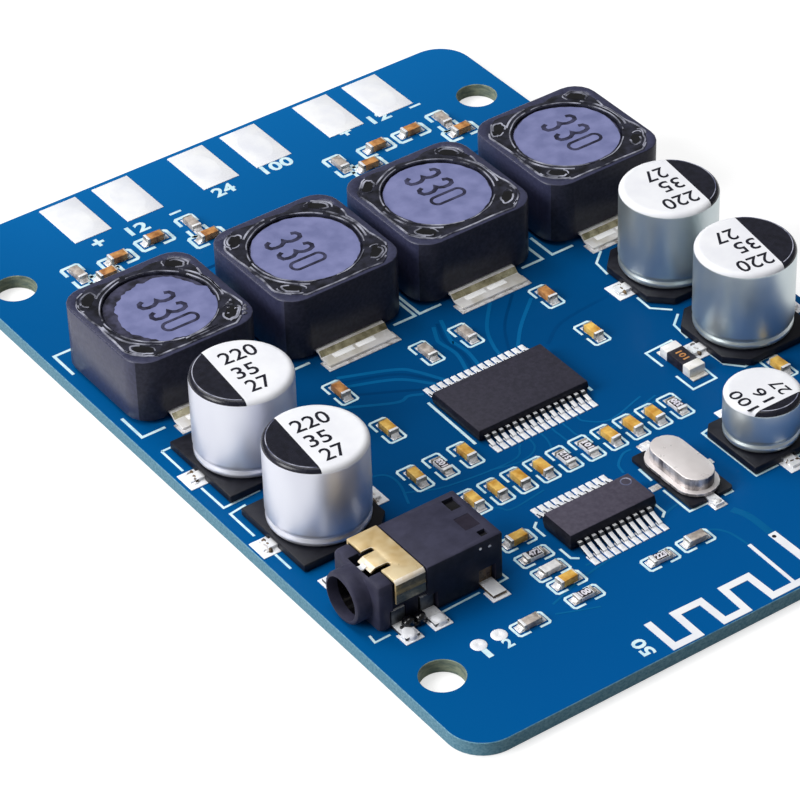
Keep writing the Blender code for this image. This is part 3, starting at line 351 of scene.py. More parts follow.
def stroke(data, points, width, low, high):
    """A printed or plated line of one width with mitred corners."""
    path = [Vector(point) for point in points]
    ways = [(end - start).normalized() for start, end in zip(path, path[1:])]
    sides = []
    for before, after in zip([ways[0]] + ways, ways + [ways[-1]]):
        first, second = Vector((-before.y, before.x)), Vector((-after.y, after.x))
        sides.append((first + second) * (width / 2 / max(0.6, 1 + first.dot(second))))
    shape = bmesh.new()
    line = [shape.verts.new((*(spot + side), low)) for spot, side in zip(path, sides)]
    edges = [shape.edges.new(pair) for pair in zip(line, line[1:])]
    for vertex in corners_in(bmesh.ops.extrude_edge_only(shape, edges=edges)["geom"]):
        near = min(range(len(path)), key=lambda index: (vertex.co.xy - path[index] - sides[index]).length)
        vertex.co.xy = path[near] - sides[near]
    raised = bmesh.ops.extrude_face_region(shape, geom=shape.faces[:])["geom"]
    bmesh.ops.translate(shape, vec=(0, 0, high - low), verts=corners_in(raised))
    bmesh.ops.recalc_face_normals(shape, faces=shape.faces)
    stamp(data, shape, FLAT)


def ring(profile, steps):
    """A full turn of a line of (radius, height) points about the upright."""
    data = bmesh.new()
    line = [data.verts.new((radius, 0, height)) for radius, height in profile]
    edges = [data.edges.new(pair) for pair in zip(line, line[1:])]
    bmesh.ops.spin(data, geom=line + edges, cent=(0, 0, 0), axis=(0, 0, 1), angle=math.tau, steps=steps,
                   use_merge=True)
    bmesh.ops.remove_doubles(data, verts=data.verts, dist=0.0005)
    bmesh.ops.recalc_face_normals(data, faces=data.faces)
    return data


def bent_sheet(path, width, thickness, edge):
    """A strip that follows (reach, height) points on its lower side, made thick."""
    data = bmesh.new()
    line = [data.verts.new((reach, -width / 2, height)) for reach, height in path]
    edges = [data.edges.new(pair) for pair in zip(line, line[1:])]
    wide = bmesh.ops.extrude_edge_only(data, edges=edges)["geom"]
    bmesh.ops.translate(data, vec=(0, width, 0), verts=corners_in(wide))
    bmesh.ops.recalc_face_normals(data, faces=data.faces)
    if data.faces[:][0].normal.z < 0:
        bmesh.ops.reverse_faces(data, faces=data.faces)
    bmesh.ops.solidify(data, geom=data.faces[:], thickness=thickness)
    bmesh.ops.recalc_face_normals(data, faces=data.faces)
    soften(data, sharp_edges(data, 1.0), edge)
    return data


def lump(size, rough, grain, seed, cut=-0.25):
    """A blob of solder or resin, flat below, with an uneven skin."""
    data = bmesh.new()
    bmesh.ops.create_icosphere(data, subdivisions=3, radius=1.0)
    for vertex in data.verts:
        push = noise.noise(vertex.co * grain + Vector((seed, seed * 0.7, 3.1)))
        vertex.co *= 1 + rough * push * 2
        vertex.co.z = max(vertex.co.z, cut)
    bmesh.ops.scale(data, vec=(size[0] / 2, size[1] / 2, size[2]), verts=data.verts)
    return data


def patch(reach, steps):
    """A flat round shape whose edge is as far out at each angle as asked."""
    data = bmesh.new()
    bmesh.ops.create_circle(data, cap_ends=True, radius=1.0, segments=steps)
    for vertex in data.verts:
        vertex.co.xy *= reach(math.atan2(vertex.co.y, vertex.co.x))
    return data


def waver(angle, seed, size, grain=1.6):
    """A smooth unevenness that closes round a full turn."""
    return size * noise.noise(Vector((grain * math.cos(angle), grain * math.sin(angle), seed)))


def arc_points(centre, reach, start, end, step=4):
    """Points along part of a turn, at the distance asked for each angle."""
    count = max(2, int(abs(end - start) / step) + 1)
    angles = [math.radians(start + (end - start) * index / (count - 1)) for index in range(count)]
    return [(centre[0] + reach(angle) * math.cos(angle), centre[1] + reach(angle) * math.sin(angle))
            for angle in angles]


def long_oval(half_width, half_height, line, thickness):
    """A ring drawn out into a flat-sided oval."""
    data = ring([(half_width - line, 0), (half_width - line, thickness), (half_width, thickness),
                 (half_width, 0), (half_width - line, 0)], 32)
    for vertex in data.verts:
        vertex.co.y += math.copysign(half_height - half_width, vertex.co.y)
    return data


def as_object(name, data):
    """Put a shape into the scene as an object, and free it."""
    mesh = bpy.data.meshes.new(name)
    data.to_mesh(mesh)
    data.free()
    item = bpy.data.objects.new(name, mesh)
    bpy.context.scene.collection.objects.link(item)
    return item


def shape_of(item):
    """The evaluated shape of an object, which leaves the scene."""
    bpy.context.view_layer.update()
    mesh = bpy.data.meshes.new_from_object(item.evaluated_get(bpy.context.evaluated_depsgraph_get()))
    bpy.data.objects.remove(item)
    shape = bmesh.new()
    shape.from_mesh(mesh)
    bpy.data.meshes.remove(mesh)
    return shape


def lettering(data, words, height, width, place, weight, thickness):
    """Plain numbers as flat shapes of a given height and width, centred on a place."""
    curve = bpy.data.curves.new("numbers", "FONT")
    curve.body = words
    curve.extrude = thickness / 2
    curve.offset = weight
    curve.resolution_u = 3
    item = bpy.data.objects.new("numbers", curve)
    bpy.context.scene.collection.objects.link(item)
    shape = shape_of(item)
    bmesh.ops.remove_doubles(shape, verts=shape.verts, dist=0.0005)
    wide = [vertex.co.x for vertex in shape.verts]
    tall = [vertex.co.y for vertex in shape.verts]
    centre = Vector((-(min(wide) + max(wide)) / 2, -(min(tall) + max(tall)) / 2, 0))
    bmesh.ops.translate(shape, vec=centre, verts=shape.verts)
    bmesh.ops.scale(shape, vec=(width / (max(wide) - min(wide)), height / (max(tall) - min(tall)), 1),
                    verts=shape.verts)
    stamp(data, shape, place)


def finished(name, data, *finishes, replaces=(), slot=None, smooth=35):
    """Turn a mesh in millimetres into a piece of the board that rides on it."""
    bmesh.ops.scale(data, vec=(MM, MM, MM), verts=data.verts)
    piece = as_object(name, data)
    for finish in finishes:
        piece.data.materials.append(finish.material)
    if smooth:
        piece.data.shade_smooth()
        piece.data.set_sharp_from_angle(angle=math.radians(smooth))
    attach(piece, "root")
    if replaces:
        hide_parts(*replaces)


def metal_piece(name, data, *finishes, replaces=(), smooth=35):
    """A tinned, plated or soldered piece."""
    finished(name, data, *finishes, replaces=replaces, slot="tinned_lead", smooth=smooth)


def from_solid(node, edge=0.0, steps=2):
    """A merged copy of a solid in millimetres, with its hard edges rounded."""
    data = bmesh.new()
    data.from_mesh(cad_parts[node].data)
    bmesh.ops.scale(data, vec=(1 / MM, 1 / MM, 1 / MM), verts=data.verts)
    bmesh.ops.remove_doubles(data, verts=data.verts, dist=0.002)
    bmesh.ops.dissolve_limit(data, angle_limit=math.radians(1.5), verts=data.verts, edges=data.edges)
    if edge:
        soften(data, sharp_edges(data, math.radians(40)), edge, steps, clamp=True)
    return data


def box_mm(node):
    """The lowest and highest corner of a node."""
    low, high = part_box(node)
    return Vector(low) / MM, Vector(high) / MM


def centre_mm(node):
    """The middle of a node's box."""
    low, high = box_mm(node)
    return (low + high) / 2


def coat_solid(node, finish):
    """Give a solid that is right as it is its surface."""
    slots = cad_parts[node].data.materials
    slots.clear()
    slots.append(finish.material)


# The board and what is printed and plated on it

HOLE_PLACES = [(x, y) for x in (-22.9, 22.9) for y in (28.75, -29.35)]
HOLE_RADIUS = 1.7
CORNER_RADIUS = 3.0


def board_panel():
    """The laminate with round corners and four drilled holes."""
    half_width, half_length = BOARD_WIDTH / 2, BOARD_LENGTH / 2
    data = block((-half_width, -half_length, 0), (half_width, half_length, BOARD_TOP))
    upright = [edge for edge in data.edges if abs(edge.verts[0].co.z - edge.verts[1].co.z) > 1]
    soften(data, upright, CORNER_RADIUS, 10)
    bits = bmesh.new()
    for x, y in HOLE_PLACES:
        bmesh.ops.create_cone(bits, cap_ends=True, segments=64, radius1=HOLE_RADIUS, radius2=HOLE_RADIUS,
                              depth=4, matrix=at(x, y, BOARD_TOP / 2))
    panel, drills = as_object("panel", data), as_object("drills", bits)
    bore = panel.modifiers.new("bore", "BOOLEAN")
    bore.operation = "DIFFERENCE"
    bore.solver = "EXACT"
    bore.object = drills
    data = shape_of(panel)
    bpy.data.objects.remove(drills)
    soften(data, sharp_edges(data, 1.2), 0.05, 1)
    for face in data.faces:
        x, y = (abs(way) for way in face.calc_center_median().xy)
        outer = x > half_width - 0.1 or y > half_length - 0.1 or (x > 23 and y > 34.2)
        if abs(face.normal.z) > 0.9:
            face.material_index = 0
        else:
            face.material_index = 1 if outer else 2
    finished("board_panel", data, mask_blue, laminate_edge, hole_wall, replaces=["circuit_board"],
             slot="board_laminate", smooth=30)


# Small chips: place, turn and kind, in the order of the rows on the board
CHIPS = [(-10.05, 1.6, 90, "brown"), (-1.8, 1.65, 90, "grey"), (2.0, 1.65, 90, "grey"),
         (10.1, 1.9, 90, "brown"), (-9.85, -4.4, 90, "yellow"), (10.0, -4.1, 90, "yellow"),
         (-11.55, -10.35, 90, "yellow"), (-9.2, -10.35, 90, "resistor"), (-6.9, -10.35, 90, "yellow"),
         (-18.0, 26.9, 90, "grey"), (-6.9, 27.2, 90, "grey"), (7.6, 26.9, 90, "grey"),
         (18.3, 27.1, 90, "grey"), (18.75, -16.2, 90, "yellow"), (-9.9, -20.6, 0, "yellow"),
         (-9.95, -22.75, 0, "resistor"), (-9.95, -24.7, 0, "white"), (-9.8, -26.45, 0, "yellow"),
         (-9.75, -28.45, 0, "resistor"), (-14.7, -28.5, 0, "grey"), (-2.85, -28.5, 0, "resistor"),
         (0.5, -28.4, 0, "grey"), (-16.2, 25.4, 0, "brown"), (-14.3, 26.8, 0, "brown"),
         (-10.5, 27.3, 0, "brown"), (-6.75, 25.0, 0, "brown"), (9.4, 25.3, 0, "brown"),
         (11.5, 27.2, 0, "brown"), (15.1, 27.3, 0, "brown"), (18.6, 24.9, 0, "brown")]
ROW_KINDS = ["yellow"] * 4 + ["resistor"] * 2 + ["yellow"] * 3 + ["resistor"]
CHIPS += [(-9.8 + 2.13 * index, -15.2, 90, kind) for index, kind in enumerate(ROW_KINDS)]

CHIP_HEIGHTS = {"yellow": 0.66, "brown": 0.66, "grey": 0.55, "white": 0.5, "resistor": 0.42}
CHIP_BODIES = {"yellow": ceramic, "brown": brown_ceramic, "grey": grey_ceramic, "white": white_ceramic}
CHIP_VALUES = ("103", "472", "100", "223", "512", "101", "330", "220")
DRAWN_LENGTH = 74.0     # the board's length when the places of the chips were measured


def chip_place(x, y, turn):
    """A place in the rows of small chips, moved out to the board's true length."""
    return at(x, y * (BOARD_LENGTH / DRAWN_LENGTH), BOARD_TOP, turn)


def chip_fillet(top):
    """The solder at one end of a chip, highest where it meets the end cap."""
    fillet = block((0.74, -0.34, 0.03), (1.06, 0.34, top * 0.6))
    for vertex in fillet.verts:
        if vertex.co.x > 0.9 and vertex.co.z > 0.1:
            vertex.co.z = 0.11
    soften(fillet, fillet.edges[:], 0.05)
    return fillet


def small_chips():
    """Ceramic bodies, glazed resistors, their plated ends, and the solder that holds them."""
    bodies = {kind: bmesh.new() for kind in CHIP_BODIES}
    ends, fillets, lands, glaze, codes = (bmesh.new() for _ in range(5))
    resistors = 0
    for x, y, turn, kind in CHIPS:
        place = chip_place(x, y, turn)
        top = CHIP_HEIGHTS[kind]
        lean = place @ Matrix.Rotation(math.radians(random.uniform(-2.5, 2.5)), 4, "Z")
        if kind == "resistor":
            stamp(bodies["white"], block((-0.62, -0.4, 0.03), (0.62, 0.4, top - 0.03), 0.03), lean)
            stamp(glaze, block((-0.5, -0.37, top - 0.06), (0.5, 0.37, top), 0.02), lean)
            lettering(codes, CHIP_VALUES[resistors % len(CHIP_VALUES)], 0.58, 0.94,
                      lean @ Matrix.Translation((0, 0, top + 0.006)), 0.05, 0.01)
            resistors += 1
        else:
            stamp(bodies[kind], block((-0.7, -0.4, 0.04), (0.74, 0.4, top - 0.02), 0.04), lean)
        for side, inner in ((-1, 0.56), (1, 0.66)):
            low, high = sorted((side * inner, side * 0.82))
            cap = block((low, -0.42, 0.02), (high, 0.42, top), 0.05)
            for face in cap.faces:
                face.material_index = 0 if face.normal.z > 0.5 and side < 0 else 1
            stamp(ends, cap, lean)
            spin = place @ Matrix.Rotation(0 if side > 0 else math.pi, 4, "Z")
            stamp(fillets, chip_fillet(top), spin)
            stamp(lands, block((0.3, -0.4, -SINK), (1.2, 0.4, 0.06), 0.03), spin)
    for kind, data in bodies.items():
        finished("chip_bodies_" + kind, data, CHIP_BODIES[kind])
    metal_piece("chip_end_caps", ends, lead_tin, shaded_tin)
    metal_piece("chip_solder_fillets", fillets, solder)
    metal_piece("chip_lands", lands, solder)
    finished("resistor_glaze", glaze, resistor_glaze, smooth=30)
    finished("resistor_codes", codes, code_print, smooth=None)


# Wide pads: their places along the rear row; round pads: theirs by the socket
PAD_PLACES, PAD_ROW = (-14.1, -9.05, -1.6, 3.65, 11.05, 16.15), 33.9
ROUND_PAD_PLACES, ROUND_PAD_ROW = (-18.95, -17.15), -28.1
ROUND_PAD = ((0, -0.02), (0.62, -0.02), (0.625, 0.03), (0.5, 0.08), (0.22, 0.1), (0.12, 0.06), (0, 0.05))


def terminal_pads():
    """Six wide pads along the rear edge and two round ones by the socket."""
    data = bmesh.new()
    for x in PAD_PLACES:
        stamp(data, block((-1.75, -2.85, -0.02), (1.75, 2.85, 0.06), 0.035), at(x, PAD_ROW, BOARD_TOP))
        stamp(data, lump((2.7, 4.4, 0.035), 0.02, 1.0, x, 0.0), at(x, PAD_ROW, BOARD_TOP + 0.05))
    for x in ROUND_PAD_PLACES:
        stamp(data, ring(ROUND_PAD, 32), chip_place(x, ROUND_PAD_ROW, 0))
    metal_piece("tinned_pads", data, tin)


def printed_antenna():
    """The meander by the front edge and its feed, bare tinned copper."""
    data = bmesh.new()
    low, high = BOARD_TOP - SINK, BOARD_TOP + 0.04
    meander = [(-8.0, -33.66), (-8.0, -36.78), (-5.84, -36.8), (-5.8, -34.05), (-3.48, -34.1),
               (-3.42, -36.76), (-1.44, -36.78), (-1.33, -34.01), (0.98, -34.02), (1.06, -36.73),
               (21.0, -36.76)]
    stroke(data, meander, 0.62, low, high)
    stroke(data, [(3.31, -31.31), (3.2, -36.46)], 0.3, low, high + 0.004)
    stroke(data, [(5.46, -31.28), (5.56, -36.46)], 0.7, low, high + 0.004)
    metal_piece("printed_antenna", data, tin, smooth=None)
    via = bmesh.new()
    stamp(via, patch(lambda angle: 0.17, 24), at(5.35, -31.7, high + 0.008))
    finished("feed_via", via, can_black, smooth=None)


def print_line(data, points, width):
    """One line of the board's white print."""
    stroke(data, points, width, BOARD_TOP - SINK, BOARD_TOP + PRINT_RISE)


def bracket(data, place, length=3.15, width=1.68, gap=0.28, line=0.2):
    """Two facing print brackets round a small chip."""
    clip = 0.14
    long, wide = (length - line) / 2, (width - line) / 2
    for side in (-1, 1):
        points = [(side * gap, wide), (side * (long - clip), wide), (side * long, wide - clip),
                  (side * long, clip - wide), (side * (long - clip), -wide), (side * gap, -wide)]
        print_line(data, placed(place, points), line)


# Print drawn round the larger parts: width of the line, then its corners
PRINT_LINES = (
    (0.24, ((-5.41, -3.4), (-5.53, -9.71))), (0.24, ((5.5, -3.5), (5.5, -9.8))),
    (0.2, ((-24.93, 3.95), (-24.93, 1.0))), (0.2, ((-24.93, -1.54), (-24.9, -4.52), (-21.6, -4.4))),
    (0.2, ((-24.9, -8.6), (-24.9, -5.4), (-23.4, -5.2))), (0.2, ((-24.85, -11.0), (-24.85, -13.3))),
    (0.2, ((-24.93, 3.95), (-21.0, 3.98))),
    (0.2, ((10.56, -18.77), (8.88, -19.04), (8.86, -25.45), (10.97, -25.44))),
    (0.2, ((12.57, -25.44), (14.4, -25.4), (15.2, -24.6), (15.2, -20.0), (14.4, -19.2), (12.9, -19.1))),
    (0.2, ((17.3, 4.3), (16.0, 3.2), (15.78, 1.46))), (0.2, ((15.7, -2.43), (15.62, -4.14), (16.9, -5.4))),
    (0.2, ((16.9, -6.1), (15.75, -7.05), (15.52, -9.0))),
    (0.2, ((15.6, -11.7), (15.65, -13.34), (16.72, -14.56), (20.96, -14.3))),
    (0.2, ((3.8, -19.6), (2.38, -19.64), (2.3, -21.2))),
    (0.2, ((2.28, -22.6), (2.27, -25.71), (4.0, -25.75))),
    (0.2, ((5.5, -25.78), (6.27, -25.79), (6.57, -23.9))),
    (0.2, ((5.6, -18.9), (6.7, -18.9), (6.8, -20.6))),
    (0.18, ((-24.55, -22.8), (-24.65, -23.63), (-23.3, -23.6))), (0.18, ((-18.9, -23.84), (-15.5, -23.73))),
    (0.18, ((-13.76, -23.7), (-12.96, -23.65), (-13.0, -22.65))),
    (0.2, ((11.7, -10.7), (11.7, -8.6), (14.3, -8.5), (14.35, -9.9))),
    (0.2, ((11.75, -12.3), (11.75, -14.4), (14.05, -14.35), (14.1, -12.4))))


def board_lines():
    """All white print on the board."""
    data = bmesh.new()
    for x, y, turn, _ in CHIPS:
        place = chip_place(x, y, turn)
        if y > 24:
            bracket(data, place, 3.3, 1.85, 0.4, 0.3)
        elif turn == 90:
            bracket(data, place @ Matrix.Translation((0.12, 0, 0)))
        else:
            bracket(data, place, 2.95, 1.58, 0.42)
    for number in range(1, 5):
        middle = centre_mm("inductor_%d_shield" % number)
        for side in (-1, 1):
            reach = min(6.08, 25.6 - abs(middle.x)) if side * middle.x > 0 else 6.08
            x = middle.x + side * reach
            for y, near in ((6.3, 9.2), (19.1, 16.2)):
                print_line(data, [(middle.x + side * 4.0, y), (x, y), (x, near)], 0.25)
    for width, points in PRINT_LINES:
        print_line(data, points, width)
    place = centre_mm("wireless_chip")
    for side in (-1, 1):
        x = place.x + side * 4.35
        for end in (-1, 1):
            print_line(data, [(x - side * 0.5, place.y + end * 2.6), (x, place.y + end * 2.2),
                              (x, place.y + end * 0.9)], 0.2)
    finished("board_print_lines", data, board_print, smooth=None)


# Numbers on the board: words, place, turn, height and width
BOARD_NUMBERS = (
    ("+", -14.3, 30.05, 0, 1.1, 1.1), ("12", -10.65, 29.8, 0, 1.3, 1.9), ("-", -7.0, 29.8, 0, 0.24, 1.1),
    ("24", -2.05, 30.1, 0, 1.3, 2.0), ("100", 3.5, 30.4, 0, 1.3, 2.9), ("+", 10.8, 31.0, 0, 1.1, 1.1),
    ("12", 14.4, 31.1, 0, 1.3, 1.9), ("-", 17.8, 30.65, 0, 0.24, 1.1), ("1", -18.95, -29.35, 0, 1.0, 0.45),
    ("2", -17.15, -29.35, 0, 1.0, 0.7), ("50", -9.85, -35.5, 90, 1.1, 1.9))


def board_numbers():
    """Plain polarity marks and numbers where the board is lettered."""
    data = bmesh.new()
    for words, x, y, turn, height, width in BOARD_NUMBERS:
        lettering(data, words, height, width, at(x, y, BOARD_TOP + 0.01, turn), 0.03, 0.02)
    finished("board_numbers", data, board_print, smooth=None)


def through(points):
    """A smooth run through a few places, in six steps from each to the next."""
    spots = [Vector(point) for point in points]
    spots = [spots[0] * 2 - spots[1]] + spots + [spots[-1] * 2 - spots[-2]]
    run = []
    for before, start, end, after in zip(spots, spots[1:], spots[2:], spots[3:]):
        for step in range(6):
            share = step / 6
            run.append((start * 2 + (end - before) * share
                        + (before * 2 - start * 5 + end * 4 - after) * share ** 2
                        + (start * 3 - before - end * 3 + after) * share ** 3) / 2)
    return run + [spots[-2]]


# Tracks seen through the mask: width of the track, then the places that it runs through
TRACKS = (
    (0.34, ((-9.2, 3.4), (-5.0, 1.56), (-3.8, 0.29), (-2.56, -2.08))),
    (0.34, ((-9.6, 2.2), (-5.73, 0.52), (-3.94, -1.37), (-3.31, -2.38))),
    (0.3, ((-11.6, 0.4), (-7.42, -1.86), (-6.13, -1.8), (-5.03, -2.3))),
    (0.32, ((0.6, 4.2), (-0.07, 2.81), (-0.2, 2.19), (-0.02, 0.25), (-0.68, -2.1))),
    (0.32, ((1.6, 4.6), (0.65, 1.9), (0.69, 1.51), (0.83, -0.05), (0.51, -1.94))),
    (0.3, ((6.5, 4.6), (3.9, 1.6), (2.9, -0.6), (2.6, -1.94))),
    (0.3, ((9.0, 2.6), (6.2, 0.2), (4.2, -2.0))),
    (0.16, ((-0.82, -11.6), (-0.95, -12.73), (-1.53, -14.21), (-1.64, -15.0))),
    (0.16, ((1.23, -11.6), (1.23, -12.25), (1.5, -13.82), (4.32, -14.27), (9.0, -13.2))),
    (0.16, ((0.2, -11.6), (0.2, -12.49), (0.58, -14.3), (3.29, -14.6), (9.4, -13.6))),
    (0.16, ((-1.94, -11.6), (-2.1, -12.55), (-2.85, -13.2), (-4.28, -13.45), (-6.52, -12.9))),
    (0.16, ((2.6, -11.6), (2.7, -12.4), (4.4, -13.5), (8.0, -12.6))),
    (0.16, ((-13.2, -11.2), (-10.35, -12.44), (-4.54, -13.0), (-2.9, -11.8))),
    (0.16, ((-9.4, -16.4), (-8.62, -16.9), (-7.95, -17.56), (-4.75, -17.21))),
    (0.2, ((-16.0, -8.0), (-13.4, -8.4), (-12.86, -9.93), (-13.68, -12.43))),
    (0.2, ((-12.09, -27.95), (-8.26, -26.85), (-3.12, -26.09), (-2.06, -25.72))),
    (0.2, ((-7.56, -25.94), (-4.8, -26.29), (-2.35, -26.09), (1.55, -24.58), (3.6, -24.94))),
    (0.2, ((1.83, -28.08), (2.6, -28.6), (3.1, -29.6), (3.31, -31.3))),
    (0.62, ((4.9, -27.4), (5.4, -28.8), (5.46, -31.3))),
    (0.2, ((1.2, -19.2), (1.5, -18.2), (2.56, -17.38), (3.4, -17.3))),
    (0.16, ((-12.6, -28.9), (-11.0, -29.6), (-9.5, -30.2))))
GAPS = (
    (0.3, ((-9.4, 2.8), (-5.4, 1.1), (-3.9, -0.5), (-2.9, -2.2))),
    (0.3, ((-10.4, 1.4), (-6.6, -0.7), (-4.6, -1.9))),
    (0.3, ((1.1, 4.4), (0.3, 2.2), (0.4, 0.1), (-0.1, -2.0))),
    (0.34, ((-22.0, 21.6), (0.0, 21.7), (22.0, 21.9))), (0.24, ((8.2, 4.0), (5.2, 1.0), (3.4, -2.0))),
    (0.3, ((6.4, -3.0), (9.0, -1.4), (14.0, -0.8))))
TRACK_STEP = 0.0004     # each track lies so much higher than the last, so that none share a face


def mask_tracks():
    """Copper tracks that show faintly through the mask, and the darker gaps between them."""
    for name, runs, finish, rise in (("tracks_under_mask", TRACKS, mask_over_copper, 0.006),
                                     ("gaps_in_copper", GAPS, mask_in_shade, 0.002)):
        data = bmesh.new()
        for index, (width, points) in enumerate(runs):
            stroke(data, through(points), width, BOARD_TOP - SINK, BOARD_TOP + rise + TRACK_STEP * index)
        finished(name, data, finish, smooth=None)


# Inductors

# Each inductor: offset of its numbers from the middle; its paint's offset, radius and unevenness
NUMBER_PLACES = ((0.33, -0.73), (-0.8, 0.2), (0.45, 0.9), (0.65, 0.2))
PAINT_PLACES = ((0.55, -0.5, 3.95, 0.5), (0.0, 0.0, 4.3, 0.16), (0.0, 0.0, 4.3, 0.14),
                (0.0, 0.0, 4.3, 0.16))
THREE = ((-0.44, 1.0), (-0.3, 1.36), (0.02, 1.5), (0.36, 1.36), (0.5, 0.98), (0.48, 0.5), (0.28, 0.14),
         (-0.1, 0.0), (0.28, -0.14), (0.5, -0.52), (0.5, -0.98), (0.36, -1.36), (0.02, -1.5), (-0.3, -1.36),
         (-0.44, -1.0))
DIGIT_PITCH = 1.73
FILM_START = 4.46       # radius at which the resin meets the drum
SHIELD_HALF = 5.75
POCKET_REACH = 5.62
BEAD_RISE = 0.065
# Crumbs of resin on the first inductor, coloured with the resin edges' painted highlight: place and size
CRUMBS = ((4.35, -2.9, 0.3), (4.75, -2.7, 0.26), (4.1, -3.4, 0.24), (5.0, -4.3, 0.42), (5.3, -3.95, 0.3),
          (4.7, -4.75, 0.36), (3.7, -4.0, 0.22), (4.5, -3.8, 0.2))
CLIP_BEND = 0.34        # where a clip starts to rise, over the board
# Painted highlights on each clip, which glow a little: shift along it and half length, then how far in and
# how high they lie
GLINT_PLACES = ((-1.29, 0.95), (0.82, 0.85))
GLINT_INSET, GLINT_RISE = 0.88, 0.295


def resin_reach(seed):
    """How far the black resin has run over the shield at each angle: further on the near sides."""
    def reach(angle):
        across, along = math.cos(angle), math.sin(angle)
        edge = SHIELD_HALF / max(abs(across), abs(along))
        near = max(0.0, -across, -along)
        flat = min(edge, 6.85) - 0.34 - 0.2 * max(0.0, -across)
        corner = max(0.0, abs(math.sin(2 * angle)) - 0.55) / 0.45
        narrow = 5.12 + 1.15 * corner
        share = min(1.0, near * 1.5)
        uneven = waver(angle, seed, 0.2, 3.0) * (1 - 0.7 * max(0.0, -along))
        return narrow + (min(flat, narrow + 1.1) - narrow) * share + uneven
    return reach


def resin_film(reach, top):
    """The thin black film over the ring between drum and shield."""
    data = ring([(1, -0.25), (1.02, 0.0), (1.3, 0.03), (1.62, 0.035), (1.9, 0.025), (2.0, -0.01)], 120)
    for vertex in data.verts:
        angle = math.atan2(vertex.co.y, vertex.co.x)
        share = vertex.co.xy.length - 1
        radius = FILM_START + share * (reach(angle) - FILM_START)
        uneven = 0.012 * noise.noise(Vector((math.cos(angle) * 5, math.sin(angle) * 5, share * 3)))
        height = vertex.co.z + uneven
        vertex.co = Vector((radius * math.cos(angle), radius * math.sin(angle), top + height))
    return data


def coil_shield(name, middle, top, reach, seed):
    """The ferrite square, with painted shade on its front face, and the resin that fills it."""
    shield = from_solid(name + "_shield")
    bmesh.ops.triangulate(shield, faces=[face for face in shield.faces if len(face.verts) > 4])
    for face in shield.faces:
        if face.normal.y < -0.6 and face.calc_center_median().y < middle.y - 4:
            face.material_index = 1
    finished(name + "_shield_body", shield, ferrite, ferrite_shade, replaces=[name + "_shield"],
             slot="ferrite", smooth=38)
    resin = bmesh.new()
    stamp(resin, resin_film(reach, top), at(middle.x, middle.y))
    for corner in range(4):
        place = at(middle.x, middle.y, 0, 45 + corner * 90)
        stamp(resin, lump((1.3, 2.3, 0.3), 0.14, 1.6, seed + corner),
              place @ Matrix.Translation((SHIELD_HALF, 0, top - 0.32)))
    finished(name + "_resin", resin, coil_resin, slot="ferrite", smooth=60)


def resin_beads(number, middle, top, reach):
    """Painted highlights along the edges of the resin and round the pockets, and painted shade in the
    shield's four pockets.
    """
    name = "inductor_%d" % number
    centre = (middle.x, middle.y)
    beads, pocket_shades = bmesh.new(), bmesh.new()

    def bead(points, width):
        stroke(beads, points, width, top, top + BEAD_RISE)

    def follow(share):
        """A line at one share of the film's width."""
        return lambda angle: (FILM_START + share * (reach(angle) - FILM_START)
                              + waver(angle, number + share, 0.1, 2.6))

    for start, end in ((100, 168), (172, 262), (268, 318), (-28, 30), (38, 92)):
        bead(arc_points(centre, lambda angle: 4.62 + waver(angle, number * 2.1, 0.06, 4), start, end), 0.1)
    for start, end in ((176, 240), (-20, 40), (96, 132)):
        bead(arc_points(centre, lambda angle: 5.0 + waver(angle, number * 1.7, 0.1, 3), start, end), 0.16)
    for share, start, end, width in ((0.95, 142, 226, 0.15), (0.97, 234, 312, 0.15), (0.95, -36, 26, 0.13)):
        bead(arc_points(centre, follow(share), start, end, 3), width)
    for corner in range(4):
        facing = 45 + corner * 90
        away = Vector((math.cos(math.radians(facing)), math.sin(math.radians(facing))))
        pocket = Vector(centre) + away * POCKET_REACH
        place = at(pocket.x, pocket.y, top + 0.05, facing)
        # Painted shade in the pocket: a black patch over the resin.
        stamp(pocket_shades, patch(lambda angle: 0.42 / max(0.45, abs(math.cos(angle))) ** 0.8
                             + waver(angle, number + corner, 0.1), 40), place)
        for size, start, end, width in ((1.0, -150, 60, 0.15), (1.5, -60, 70, 0.12), (1.2, 80, 140, 0.1)):
            size *= random.uniform(0.85, 1.15)
            shift = random.uniform(-35, 35)
            points = []
            for step in range(23):
                turn = math.radians(start + shift + step * (end - start) / 22)
                cloud = Vector((math.cos(turn) * 1.6, math.sin(turn) * 1.6, number * 4 + corner))
                out = 1 + 0.25 * noise.noise(cloud)
                points.append((0.5 * size * out * math.cos(turn), 0.85 * size * out * math.sin(turn)))
            bead(placed(place, points), width)
    if number == 1:
        for x, y, size in CRUMBS:
            stamp(beads, lump((size, size * 0.7, size * 0.35), 0.3, 1.6, x),
                  at(middle.x + x, middle.y + y, top + 0.04))
        bead([(middle.x - 0.6, middle.y - 4.72), (middle.x + 2.3, middle.y - 4.62)], 0.16)
        bead([(middle.x - 0.3, middle.y - 5.02), (middle.x + 2.5, middle.y - 4.95)], 0.1)
    finished(name + "_resin_edge_highlights", beads, resin_edge_highlight, slot="ferrite", smooth=None)
    finished(name + "_pocket_shade", pocket_shades, hollow_shade_and_residue_black, slot="ferrite", smooth=None)


